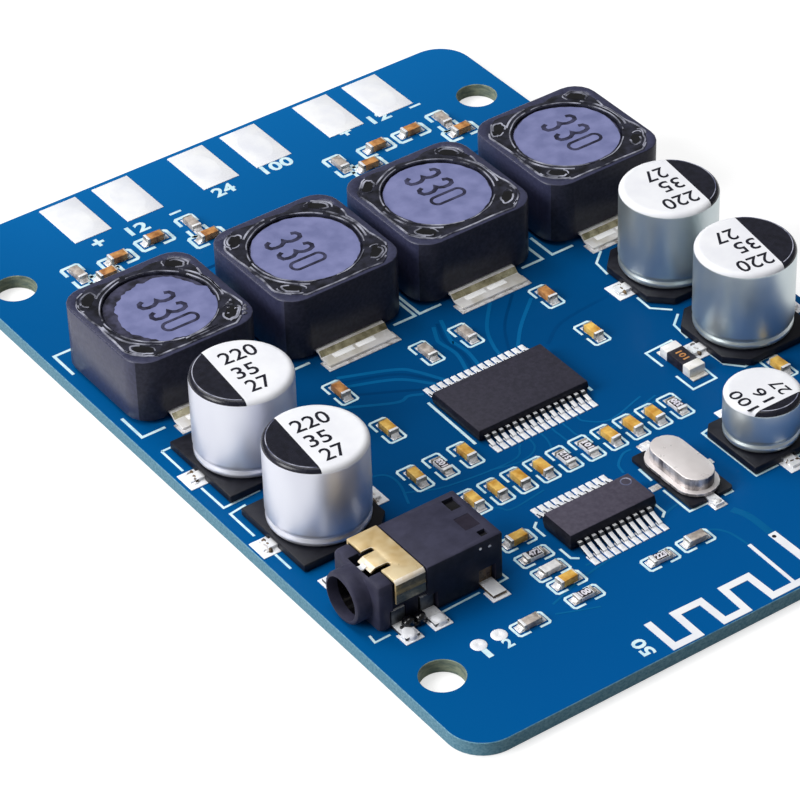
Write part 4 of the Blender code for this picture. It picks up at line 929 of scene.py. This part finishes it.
def painted_drum(number, middle, numbers):
    """The lilac face on the drum, uneven at its rim, and its three digits."""
    name = "inductor_%d" % number
    top = box_mm(name + "_drum")[1].z
    x, y, radius, fringe = PAINT_PLACES[number - 1]
    face = bmesh.new()
    stamp(face, patch(lambda angle: radius + waver(angle, number * 4.4, fringe, 2.4)
                      + waver(angle, number * 1.9, fringe * 0.4, 9), 160),
          at(middle.x + x, middle.y + y, top + 0.012))
    finished(name + "_painted_face", face, disc_paint, smooth=None, slot="ferrite")
    coat_solid(name + "_drum", drum_black)
    coat_solid(name + "_winding", copper_wire)
    x, y = NUMBER_PLACES[number - 1]
    low = top + 0.014
    for index in (-1, 0):
        place = at(middle.x + x, middle.y + y - DIGIT_PITCH * index, 0, -90)
        stroke(numbers, placed(place, THREE), 0.36, low, top + 0.03)
    place = at(middle.x + x, middle.y + y - DIGIT_PITCH, low, -90)
    stamp(numbers, long_oval(0.66, 1.65, 0.27, 0.016), place)


def coil_terminals(name, glints):
    """The bent clips, with painted shade where they rise, their painted highlights and soldered pads."""
    bend = BOARD_TOP + CLIP_BEND
    for side, way in (("front", -1), ("rear", 1)):
        node = "%s_terminal_%s" % (name, side)
        low, high = box_mm(node)
        clip = from_solid(node, 0.04)
        split(clip, (0, 0, bend), (0, 0, 1))
        for face in clip.faces:
            # The rising slant is drawn in painted shade.
            if abs(face.normal.y) > 0.3 and face.calc_center_median().z > bend:
                face.material_index = 1
        metal_piece(node + "_clip", clip, coil_clip, clip_shade, replaces=[node], smooth=50)
        toe = low.y if way < 0 else high.y
        for shift, half in GLINT_PLACES:
            stamp(glints, block((-half, -0.25, 0), (half, 0.25, 0.03), 0.01),
                  at((low.x + high.x) / 2 + shift, toe - way * GLINT_INSET, BOARD_TOP + GLINT_RISE))
        start, end = sorted((toe - way * 1.0, toe + way * 0.35))
        pad = block((low.x - 0.25, start, BOARD_TOP - SINK), (high.x + 0.25, end, BOARD_TOP + 0.08), 0.04)
        metal_piece(node + "_pad", pad, solder)


def inductors():
    """Shields, drum faces with their numbers, the resin that fixes them, and tinned clips."""
    numbers, glints = bmesh.new(), bmesh.new()
    for number in range(1, 5):
        name = "inductor_%d" % number
        middle = centre_mm(name + "_shield")
        top = box_mm(name + "_shield")[1].z
        reach = resin_reach(number * 3.7)
        coil_shield(name, middle, top, reach, number * 5.3)
        resin_beads(number, middle, top, reach)
        painted_drum(number, middle, numbers)
        coil_terminals(name, glints)
    finished("inductor_numbers", numbers, digit_ink, smooth=None)
    metal_piece("inductor_clip_glints", glints, painted_glint_glow)


# Capacitors

# Each can: its turn, chord and lean of the black print, then its rows of numbers and their places
CAN_PRINTS = ((0, -1.5, -5.5, (("220", 0.88, 1.76), ("35", 0.2, -0.28), ("27", 0.15, -2.15))),
              (0, -1.5, -5.5, (("220", 0.64, 1.6), ("35", 0.0, -0.38), ("27", 0.0, -2.3))),
              (180, -1.65, -7, (("220", 0.55, 2.1), ("35", -0.2, 0.0), ("27", -0.05, -1.85))),
              (180, -1.15, -8, (("220", 0.95, 2.26), ("35", 0.05, 0.2), ("27", 0.6, -1.75))),
              (90, -1.85, 0, (("100", -0.22, 2.1), ("16", -0.55, 0.5), ("27", -0.6, -1.15))))
SMALL_CAN = 5
CAN_SHOULDER = 0.5
GROOVE_HEIGHT = 0.75
# The rolled groove: how far in from the can's wall, and how far above its middle
CAN_GROOVE = ((0, 0.42), (0.03, 0.26), (0.12, 0.12), (0.19, 0), (0.17, -0.1), (0.06, -0.22), (0.03, -0.34))
CAN_FOOT = ((0.05, 0.22), (0.14, 0.07), (0.3, 0))


def can_shell(radius, base, top, chord, lean):
    """A drawn can with rounded shoulder, rolled groove and curled foot; a chord splits off its print."""
    profile = [(0, top), (radius - 0.95, top), (radius - 0.6, top)]
    for step in range(7):
        angle = math.radians(90 - 15 * step)
        profile.append((radius - CAN_SHOULDER + CAN_SHOULDER * math.cos(angle),
                        top - CAN_SHOULDER + CAN_SHOULDER * math.sin(angle)))
    profile += [(radius - inset, base + GROOVE_HEIGHT + rise) for inset, rise in CAN_GROOVE]
    profile += [(radius - inset, base + rise) for inset, rise in CAN_FOOT] + [(0, base)]
    data = ring(profile, 96)
    across = Vector((math.cos(math.radians(lean)), math.sin(math.radians(lean)), 0))
    split(data, across * chord, across)
    for face in data.faces:
        middle = face.calc_center_median()
        if middle.z > top - 0.36:
            face.material_index = 2 if middle.dot(across) < chord else 1
    return data


def can_lead(node, middle, half, seed, pads, joints, flux):
    """A flat lead's pad, its solder and three spots of flux."""
    coat_solid(node, lead_tin)
    low, high = box_mm(node)
    spot = ((low + high) / 2).xy
    away = (spot - middle.xy).normalized()
    tip = spot + away * (abs((high - low).xy.dot(away)) / 2)
    seat = at(tip.x, tip.y, BOARD_TOP, math.degrees(math.atan2(away.y, away.x)))
    stamp(pads, block((-1.6, -half, -SINK), (0.35, half, 0.07), 0.03), seat)
    stamp(joints, lump((1.0, half * 1.3, 0.2), 0.2, 1.4, seed), seat @ Matrix.Translation((-0.45, 0, 0.09)))
    for index in range(3):
        aside = (index - 1) * 0.42 * half + random.uniform(-0.12, 0.12)
        stamp(flux, lump((0.34, 0.5, 0.16), 0.3, 1.4, seed + index),
              seat @ Matrix.Translation((-0.72 + 0.12 * index, aside, 0.16)))


def capacitors():
    """Aluminium cans with their printed caps, moulded bases, leads and solder."""
    print_lines, rim_highlights, pads, joints, flux = (bmesh.new() for _ in range(5))
    for number, (turn, chord, lean, rows) in enumerate(CAN_PRINTS, 1):
        name = "capacitor_%d" % number
        low, high = box_mm(name + "_can")
        middle = (low + high) / 2
        radius = (high.x - low.x) / 2
        small = number == SMALL_CAN
        place = at(middle.x, middle.y, 0, turn)
        shell = bmesh.new()
        stamp(shell, can_shell(radius, low.z, high.z, chord, lean), place)
        finished(name + "_shell", shell, bare_aluminium if number > 2 else aluminium, can_white, can_black,
                 replaces=[name + "_can"], slot="can", smooth=50)
        tall, pitch = (1.05, 0.93) if small else (1.48, 1.08)
        for words, x, y in rows:
            lettering(print_lines, words, tall, pitch * len(words) - 0.18 * tall,
                      place @ at(x, y, high.z + 0.01, lean), 0.008, 0.014)
        # A painted highlight along the can's shoulder, at the edge of the black print.
        rim = radius - 0.36
        half_turn = math.degrees(math.acos(-chord / rim)) - 3
        facing = turn + lean + 180
        arc = arc_points((middle.x, middle.y), lambda angle: rim, facing - half_turn, facing + half_turn)
        stroke(rim_highlights, arc, 0.06, high.z - 0.02, high.z + 0.006)
        finished(name + "_base_moulding", from_solid(name + "_base", 0.06), black_plastic,
                 replaces=[name + "_base"], slot="black_plastic", smooth=40)
        for side in ("positive", "negative"):
            can_lead("%s_lead_%s" % (name, side), middle, 0.85 if small else 1.05,
                     number * 2.7 + len(side), pads, joints, flux)
    finished("can_numbers", print_lines, can_black, smooth=None)
    finished("can_rim_highlights", rim_highlights, rim_highlight_and_mark, smooth=None)
    metal_piece("capacitor_pads", pads, tin)
    metal_piece("capacitor_solder_joints", joints, solder, smooth=60)
    metal_piece("capacitor_flux_spots", flux, flux_brown, smooth=60)


# Chips

BODY_STANDOFF = 0.12
BODY_DRAFT = 0.12
FOOT_STANDOFF = 0.09
LEAD_SHEET = 0.15
FOOT_REACH = 0.2


def chip_body(node, middle, length, width, top, parting, epoxy):
    """A moulded body that leans in above and below its parting line, with painted shade on its sides."""
    base = BOARD_TOP + BODY_STANDOFF
    body = block((-length / 2, -width / 2, base), (length / 2, width / 2, top))
    split(body, (0, 0, parting), (0, 0, 1))
    for vertex in body.verts:
        if abs(vertex.co.z - parting) > 0.01:
            vertex.co.x -= math.copysign(BODY_DRAFT, vertex.co.x)
            vertex.co.y -= math.copysign(BODY_DRAFT, vertex.co.y)
    soften(body, sharp_edges(body, 0.8), 0.05)
    shape = bmesh.new()
    stamp(shape, body, at(middle.x, middle.y))
    for face in shape.faces:
        face.material_index = 0 if face.normal.z > 0.35 else 1
    finished(node + "_body", shape, epoxy, epoxy_in_shade, replaces=[node], slot="chip_epoxy", smooth=30)


def gull_wing_chip(node, epoxy, width, lead_width, lead_count, pitch, dark_from):
    """A moulded chip and its rows of bent leads, each on its pad."""
    low, high = box_mm(node)
    middle, top = (low + high) / 2, high.z
    parting = BOARD_TOP + (BODY_STANDOFF + top - BOARD_TOP) / 2
    chip_body(node, middle, high.x - low.x, width, top, parting, epoxy)

    half, tip = width / 2, (high.y - low.y) / 2
    floor = BOARD_TOP + FOOT_STANDOFF
    shoulder = parting - LEAD_SHEET / 2
    path = [(half - 0.25, shoulder), (half + 0.2, shoulder), (half + 0.29, shoulder - 0.05),
            (half + 0.36, shoulder - 0.2), ((half + tip - 0.22) / 2, (shoulder - 0.08 + floor) / 2),
            (tip - 0.58, floor + 0.12), (tip - 0.52, floor + 0.03), (tip - 0.42, floor), (tip, floor)]
    places = [at(middle.x + (index - (lead_count - 1) / 2) * pitch, middle.y, 0, turn)
              for turn in (90, -90) for index in range(lead_count)]
    lead = bent_sheet(path, lead_width, LEAD_SHEET, 0.03)
    for face in lead.faces:
        rise = face.calc_center_median().z - floor
        steep = face.normal.z < 0.95 and dark_from < rise < parting - floor
        face.material_index = 1 if steep or abs(face.normal.y) > 0.8 else 0
    leads, pads = bmesh.new(), bmesh.new()
    stamp(leads, lead, *places)
    beside = lead_width / 2 + 0.045
    pad = block((tip - 0.95, -beside, BOARD_TOP - SINK), (tip + FOOT_REACH, beside, BOARD_TOP + 0.08), 0.02)
    stamp(pads, pad, *places)
    metal_piece(node + "_leads", leads, lead_tin, lead_shade, smooth=30)
    metal_piece(node + "_pads", pads, tin)
    return middle, top


def chips():
    """Both chips, and the round mark by the first lead of the smaller one."""
    gull_wing_chip("amplifier_chip", chip_epoxy, width=6.2, lead_width=0.37, lead_count=15, pitch=0.65,
                   dark_from=0.24)
    middle, top = gull_wing_chip("wireless_chip", pale_epoxy, width=3.45, lead_width=0.38, lead_count=11,
                                 pitch=0.64, dark_from=0.4)
    dimple = bmesh.new()
    stamp(dimple, ring([(0.45, -0.02), (0.45, 0.012), (0.4, 0.02), (0.35, 0.012), (0.35, -0.02)], 40),
          at(middle.x + 3.15, middle.y + 0.9, top))
    finished("first_lead_mark", dimple, rim_highlight_and_mark, smooth=50)


# Audio socket

BORE_MOUTH = 0.9        # from the nose's end to where painted shade starts inside the bore
BORE_LIFT = 2.3         # the bore's axis over the board
# Windows in the housing's top: start and end from its rear, sides as shares of half its width, depth; the
# dark ones hold painted shade
WINDOWS = {"dark": ((1.5, 0.5, 0.36, 0.79, 0.26), (1.5, 0.8, -0.82, -0.62, 0.24)),
           "strip": ((2.0, 0.7, -0.43, 0.07, 0.03),)}
# Burnt residue at the first two contacts, and the contact that is brown with it
RESIDUE_PLACES = {1: (-21.8, -23.72), 2: (-20.82, -23.78)}
BURNT_CONTACT = 3
FRONT_CONTACTS = 3


def socket_housing():
    """The moulding, with painted shade inside its bore and on its front side, and its three windows."""
    housing = from_solid("jack_housing", 0.05)
    low, high = box_mm("jack_housing")
    axis, half = (low.y + high.y) / 2, (high.y - low.y) / 2
    mouth = low.x + BORE_MOUTH
    split(housing, (mouth, 0, 0), (1, 0, 0))
    for face in housing.faces:
        middle = face.calc_center_median()
        across = Vector((0, middle.y - axis, middle.z - BOARD_TOP - BORE_LIFT))
        # Painted shade: black inside the bore past its mouth, and darker on the front side.
        if face.normal.dot(across) < -0.02 and across.length < 1.85 and mouth < middle.x < low.x + 7:
            face.material_index = 1
        elif face.normal.y < -0.7 and middle.x > low.x + 2.2:
            face.material_index = 2
    finished("socket_housing", housing, socket_plastic, hollow_shade_and_residue_black, socket_side,
             replaces=["jack_housing"], slot="black_plastic", smooth=42)
    for kind, finish in (("dark", hollow_shade_and_residue_black), ("strip", window_brown)):
        data = bmesh.new()
        for start, end, near, far, depth in WINDOWS[kind]:
            stamp(data, block((high.x - start - 0.02, axis + near * half - 0.02, high.z - 0.32),
                              (high.x - end + 0.02, axis + far * half + 0.02, high.z - depth)), FLAT)
        finished("socket_window_" + kind, data, finish, slot="black_plastic", smooth=None)


def socket_clip():
    """The folded spring clip: painted highlights at its fold and tongue, and painted shade on its front
    side, darker towards the board.
    """
    axis = centre_mm("jack_housing").y
    clip = from_solid("jack_clip")
    low, high = box_mm("jack_clip")
    shade = (low.z + high.z) / 2 - 0.2
    split(clip, (0, 0, shade), (0, 0, 1))
    fold = [edge for edge in clip.edges
            if all(end.co.z > high.z - 0.02 and end.co.y < low.y + 0.02 for end in edge.verts)]
    soften(clip, fold, 0.42, 6)
    soften(clip, sharp_edges(clip, 0.8), 0.035)
    for face in clip.faces:
        middle = face.calc_center_median()
        on_tongue = face.normal.z > 0.3 and middle.x < low.x + 0.95 and abs(middle.y - axis) < 0.75
        if 0.25 < face.normal.z < 0.97 and face.normal.y < -0.2:
            face.material_index = 1
        elif face.normal.y < -0.5:
            face.material_index = 2 if middle.z > shade else 3
        elif on_tongue:
            face.material_index = 1
    finished("socket_clip", clip, gilt, gilt_highlight, gilt_shade, gilt_low, replaces=["jack_clip"],
             slot="gilt_spring", smooth=50)


def socket_contacts():
    """The five contacts on their pads, with solder mounds and burnt residue at the first two."""
    feet, mounds, residue = bmesh.new(), bmesh.new(), bmesh.new()
    for number in range(1, 6):
        node = "jack_contact_%d" % number
        contact = from_solid(node, 0.03)
        for face in contact.faces:
            if abs(face.normal.z) < 0.5:
                face.material_index = 1
        metal_piece(node + "_blade", contact, lead_tin,
                    flux_brown if number == BURNT_CONTACT else lead_shade, replaces=[node], smooth=50)
        low, high = box_mm(node)
        way = -1 if number <= FRONT_CONTACTS else 1
        x, y = (low.x + high.x) / 2, low.y if way < 0 else high.y
        wide = (high.x - low.x) / 2 + 0.2
        start, end = sorted((y - way * 1.0, y + way * 0.3))
        foot = block((x - wide, start, BOARD_TOP - SINK), (x + wide, end, BOARD_TOP + 0.07), 0.03)
        stamp(feet, foot, FLAT)
        if number in RESIDUE_PLACES:
            burnt_x, burnt_y = RESIDUE_PLACES[number]
            stamp(residue, lump((1.05, 1.0, 0.6), 0.08, 1.2, number * 3.1, -0.6),
                  at(burnt_x, burnt_y, BOARD_TOP + 0.4))
            stamp(residue, lump((0.7, 0.6, 0.4), 0.2, 1.4, number * 2.1, -0.1),
                  at(burnt_x - 0.5, burnt_y - 0.1, BOARD_TOP + 0.1))
            stamp(mounds, lump((2 * wide - 0.3, 1.5, 0.5), 0.16, 1.2, number * 1.7, -0.1),
                  at(x, y - way * 0.5, BOARD_TOP + 0.06))
    metal_piece("socket_pads", feet, tin)
    metal_piece("socket_solder_flux", residue, hollow_shade_and_residue_black, smooth=60)
    metal_piece("socket_solder_mounds", mounds, tin, smooth=60)


def socket_details():
    """Two bright specks on the side wall and the spring tip in the nose."""
    low, high = box_mm("jack_housing")
    specks = bmesh.new()
    for x, z in ((high.x - 2.0, 0.6), (high.x - 1.2, 0.72)):
        stamp(specks, lump((0.24, 0.14, 0.12), 0.2, 1.4, x), at(x, low.y, high.z - z))
    metal_piece("socket_bright_specks", specks, lead_tin, smooth=60)
    tip = bmesh.new()
    shape = bent_sheet([(0, -0.2), (0.35, 0.0), (0.75, 0.02), (1.1, -0.12), (1.4, 0.06)], 0.55, 0.12, 0.03)
    stamp(tip, shape, at(low.x + 0.75, (low.y + high.y) / 2 + 0.05, high.z - 0.1))
    metal_piece("socket_spring_tip", tip, lead_tin, smooth=50)


# Crystal and diode

def crystal():
    """The welded can on its insulating plate, with two soldered leads."""
    can = from_solid("crystal_can", 0.07, 3)
    # Painted shade and painted reflection streaks on the can's sides.
    for face in can.faces:
        if abs(face.normal.z) < 0.45:
            face.material_index = 1
    finished("crystal_can_shell", can, nickel, nickel_side_shade, replaces=["crystal_can"], slot="nickel_can",
             smooth=50)
    coat_solid("crystal_insulator", black_plastic)
    joints = bmesh.new()
    for side, way in (("front", -1), ("rear", 1)):
        node = "crystal_lead_" + side
        coat_solid(node, lead_tin)
        low, high = box_mm(node)
        x, y = (low.x + high.x) / 2, low.y + 0.35 if way < 0 else high.y - 0.35
        stamp(joints, block((-0.6, -0.55, -SINK), (0.6, 0.55, 0.06), 0.03), at(x, y, BOARD_TOP))
        stamp(joints, lump((0.9, 0.8, 0.3), 0.2, 1.6, way * 2.2), at(x, y, BOARD_TOP + 0.1))
    middle = centre_mm("crystal_can")
    for shift in (-2.5, 2.5):
        stamp(joints, block((-0.45, -0.3, -SINK), (0.45, 0.3, 0.06), 0.03),
              at(middle.x + shift, middle.y, BOARD_TOP))
    metal_piece("crystal_solder_joints", joints, solder, smooth=60)


def diode():
    """The protection diode: glazed body, two wide wrapped ends and a plain value."""
    low, high = box_mm("protection_diode")
    middle = (low + high) / 2
    top = high.z - BOARD_TOP
    place = at(middle.x, middle.y, BOARD_TOP, 90)
    body = bmesh.new()
    stamp(body, block((-1.5, -0.75, 0.05), (1.5, 0.75, top - 0.03), 0.06), place)
    finished("diode_body", body, resistor_glaze, replaces=["protection_diode"], slot="chip_epoxy")
    ends = bmesh.new()
    for side in (-1, 1):
        start, end = sorted((side * 0.95, side * 1.85))
        stamp(ends, block((start, -0.77, 0.02), (end, 0.77, top), 0.08), place)
        start, end = sorted((side * 1.8, side * 2.3))
        stamp(ends, block((start, -0.75, -SINK), (end, 0.75, 0.12), 0.05), place)
    metal_piece("diode_ends", ends, coil_clip)
    code = bmesh.new()
    lettering(code, "101", 0.6, 1.1, place @ Matrix.Translation((0, 0, top - 0.02)), 0.03, 0.012)
    finished("diode_code", code, brown_ceramic, smooth=None)


# Picture

def photo_camera():
    """The camera as it was solved from the board's edges."""
    camera = bpy.data.cameras.new("photo_camera")
    camera.lens = 174.89
    camera.sensor_width = 36
    camera.clip_start = 0.01
    camera.clip_end = 10
    rig = bpy.data.objects.new("photo_camera", camera)
    rig.rotation_mode = "QUATERNION"
    rig.location = (-0.13992223, -0.19631, 0.18354216)
    rig.rotation_quaternion = (0.85330850, 0.42284489, -0.12331755, -0.27903345)
    bpy.context.scene.collection.objects.link(rig)
    bpy.context.scene.camera = rig


def lamps():
    """Three square softboxes that look at the board: place, size and power."""
    for name, place, size, watts in (("key_left", (-0.6, 0.1, 0.4), 0.35, 3.8),
                                     ("rear_high", (-0.15, 0.42, 0.66), 0.4, 2.4),
                                     ("overhead", (-0.1, 0.03, 0.8), 0.4, 1.25)):
        lamp = bpy.data.lights.new(name, "AREA")
        lamp.shape = "RECTANGLE"
        lamp.size = lamp.size_y = size
        lamp.energy = watts
        item = bpy.data.objects.new(name, lamp)
        item.location = place
        item.rotation_euler = (-Vector(place)).to_track_quat("-Z", "Y").to_euler()
        bpy.context.scene.collection.objects.link(item)


def mixed(tree, test, usual, other, into):
    """Join two shaders, the second for the rays that a test names."""
    mix = tree.nodes.new("ShaderNodeMixShader")
    tree.links.new(tree.nodes.new("ShaderNodeLightPath").outputs[test], mix.inputs["Fac"])
    tree.links.new(usual, mix.inputs[1])
    tree.links.new(other, mix.inputs[2])
    tree.links.new(mix.outputs["Shader"], into)


def white_room():
    """A dim room that the camera sees white, and a white floor that throws little light back."""
    world = bpy.data.worlds.new("studio")
    bpy.context.scene.world = world
    world.use_nodes = True
    nodes = world.node_tree.nodes
    room, backdrop = nodes["Background"], nodes.new("ShaderNodeBackground")
    for light, strength in ((room, 0.2), (backdrop, 1.0)):
        light.inputs["Color"].default_value = (1, 1, 1, 1)
        light.inputs["Strength"].default_value = strength
    mixed(world.node_tree, "Is Camera Ray", room.outputs["Background"], backdrop.outputs["Background"],
          nodes["World Output"].inputs["Surface"])
    bpy.context.scene.view_settings.view_transform = "Standard"

    sheet = bmesh.new()
    bmesh.ops.create_grid(sheet, x_segments=1, y_segments=1, size=4.0)
    floor = as_object("studio_floor", sheet)
    paper = bpy.data.materials.new("white_paper")
    paper.use_nodes = True
    nodes = paper.node_tree.nodes
    seen, plain = nodes["Principled BSDF"], nodes.new("ShaderNodeBsdfPrincipled")
    for shader, grey in ((seen, 0.55), (plain, 0.2)):
        shader.inputs["Base Color"].default_value = (grey, grey, grey, 1)
        shader.inputs["Roughness"].default_value = 0.9
        shader.inputs["Specular IOR Level"].default_value = 0.1
    seen.inputs["Emission Color"].default_value = (1, 1, 1, 1)
    seen.inputs["Emission Strength"].default_value = 0.58
    mixed(paper.node_tree, "Is Diffuse Ray", seen.outputs["BSDF"], plain.outputs["BSDF"],
          nodes["Material Output"].inputs["Surface"])
    floor.data.materials.append(paper)


for make in (photo_camera, lamps, white_room, board_panel, terminal_pads, printed_antenna, board_lines,
             board_numbers, mask_tracks, small_chips, inductors, capacitors, chips, socket_housing,
             socket_clip, socket_contacts, socket_details, crystal, diode):
    make()
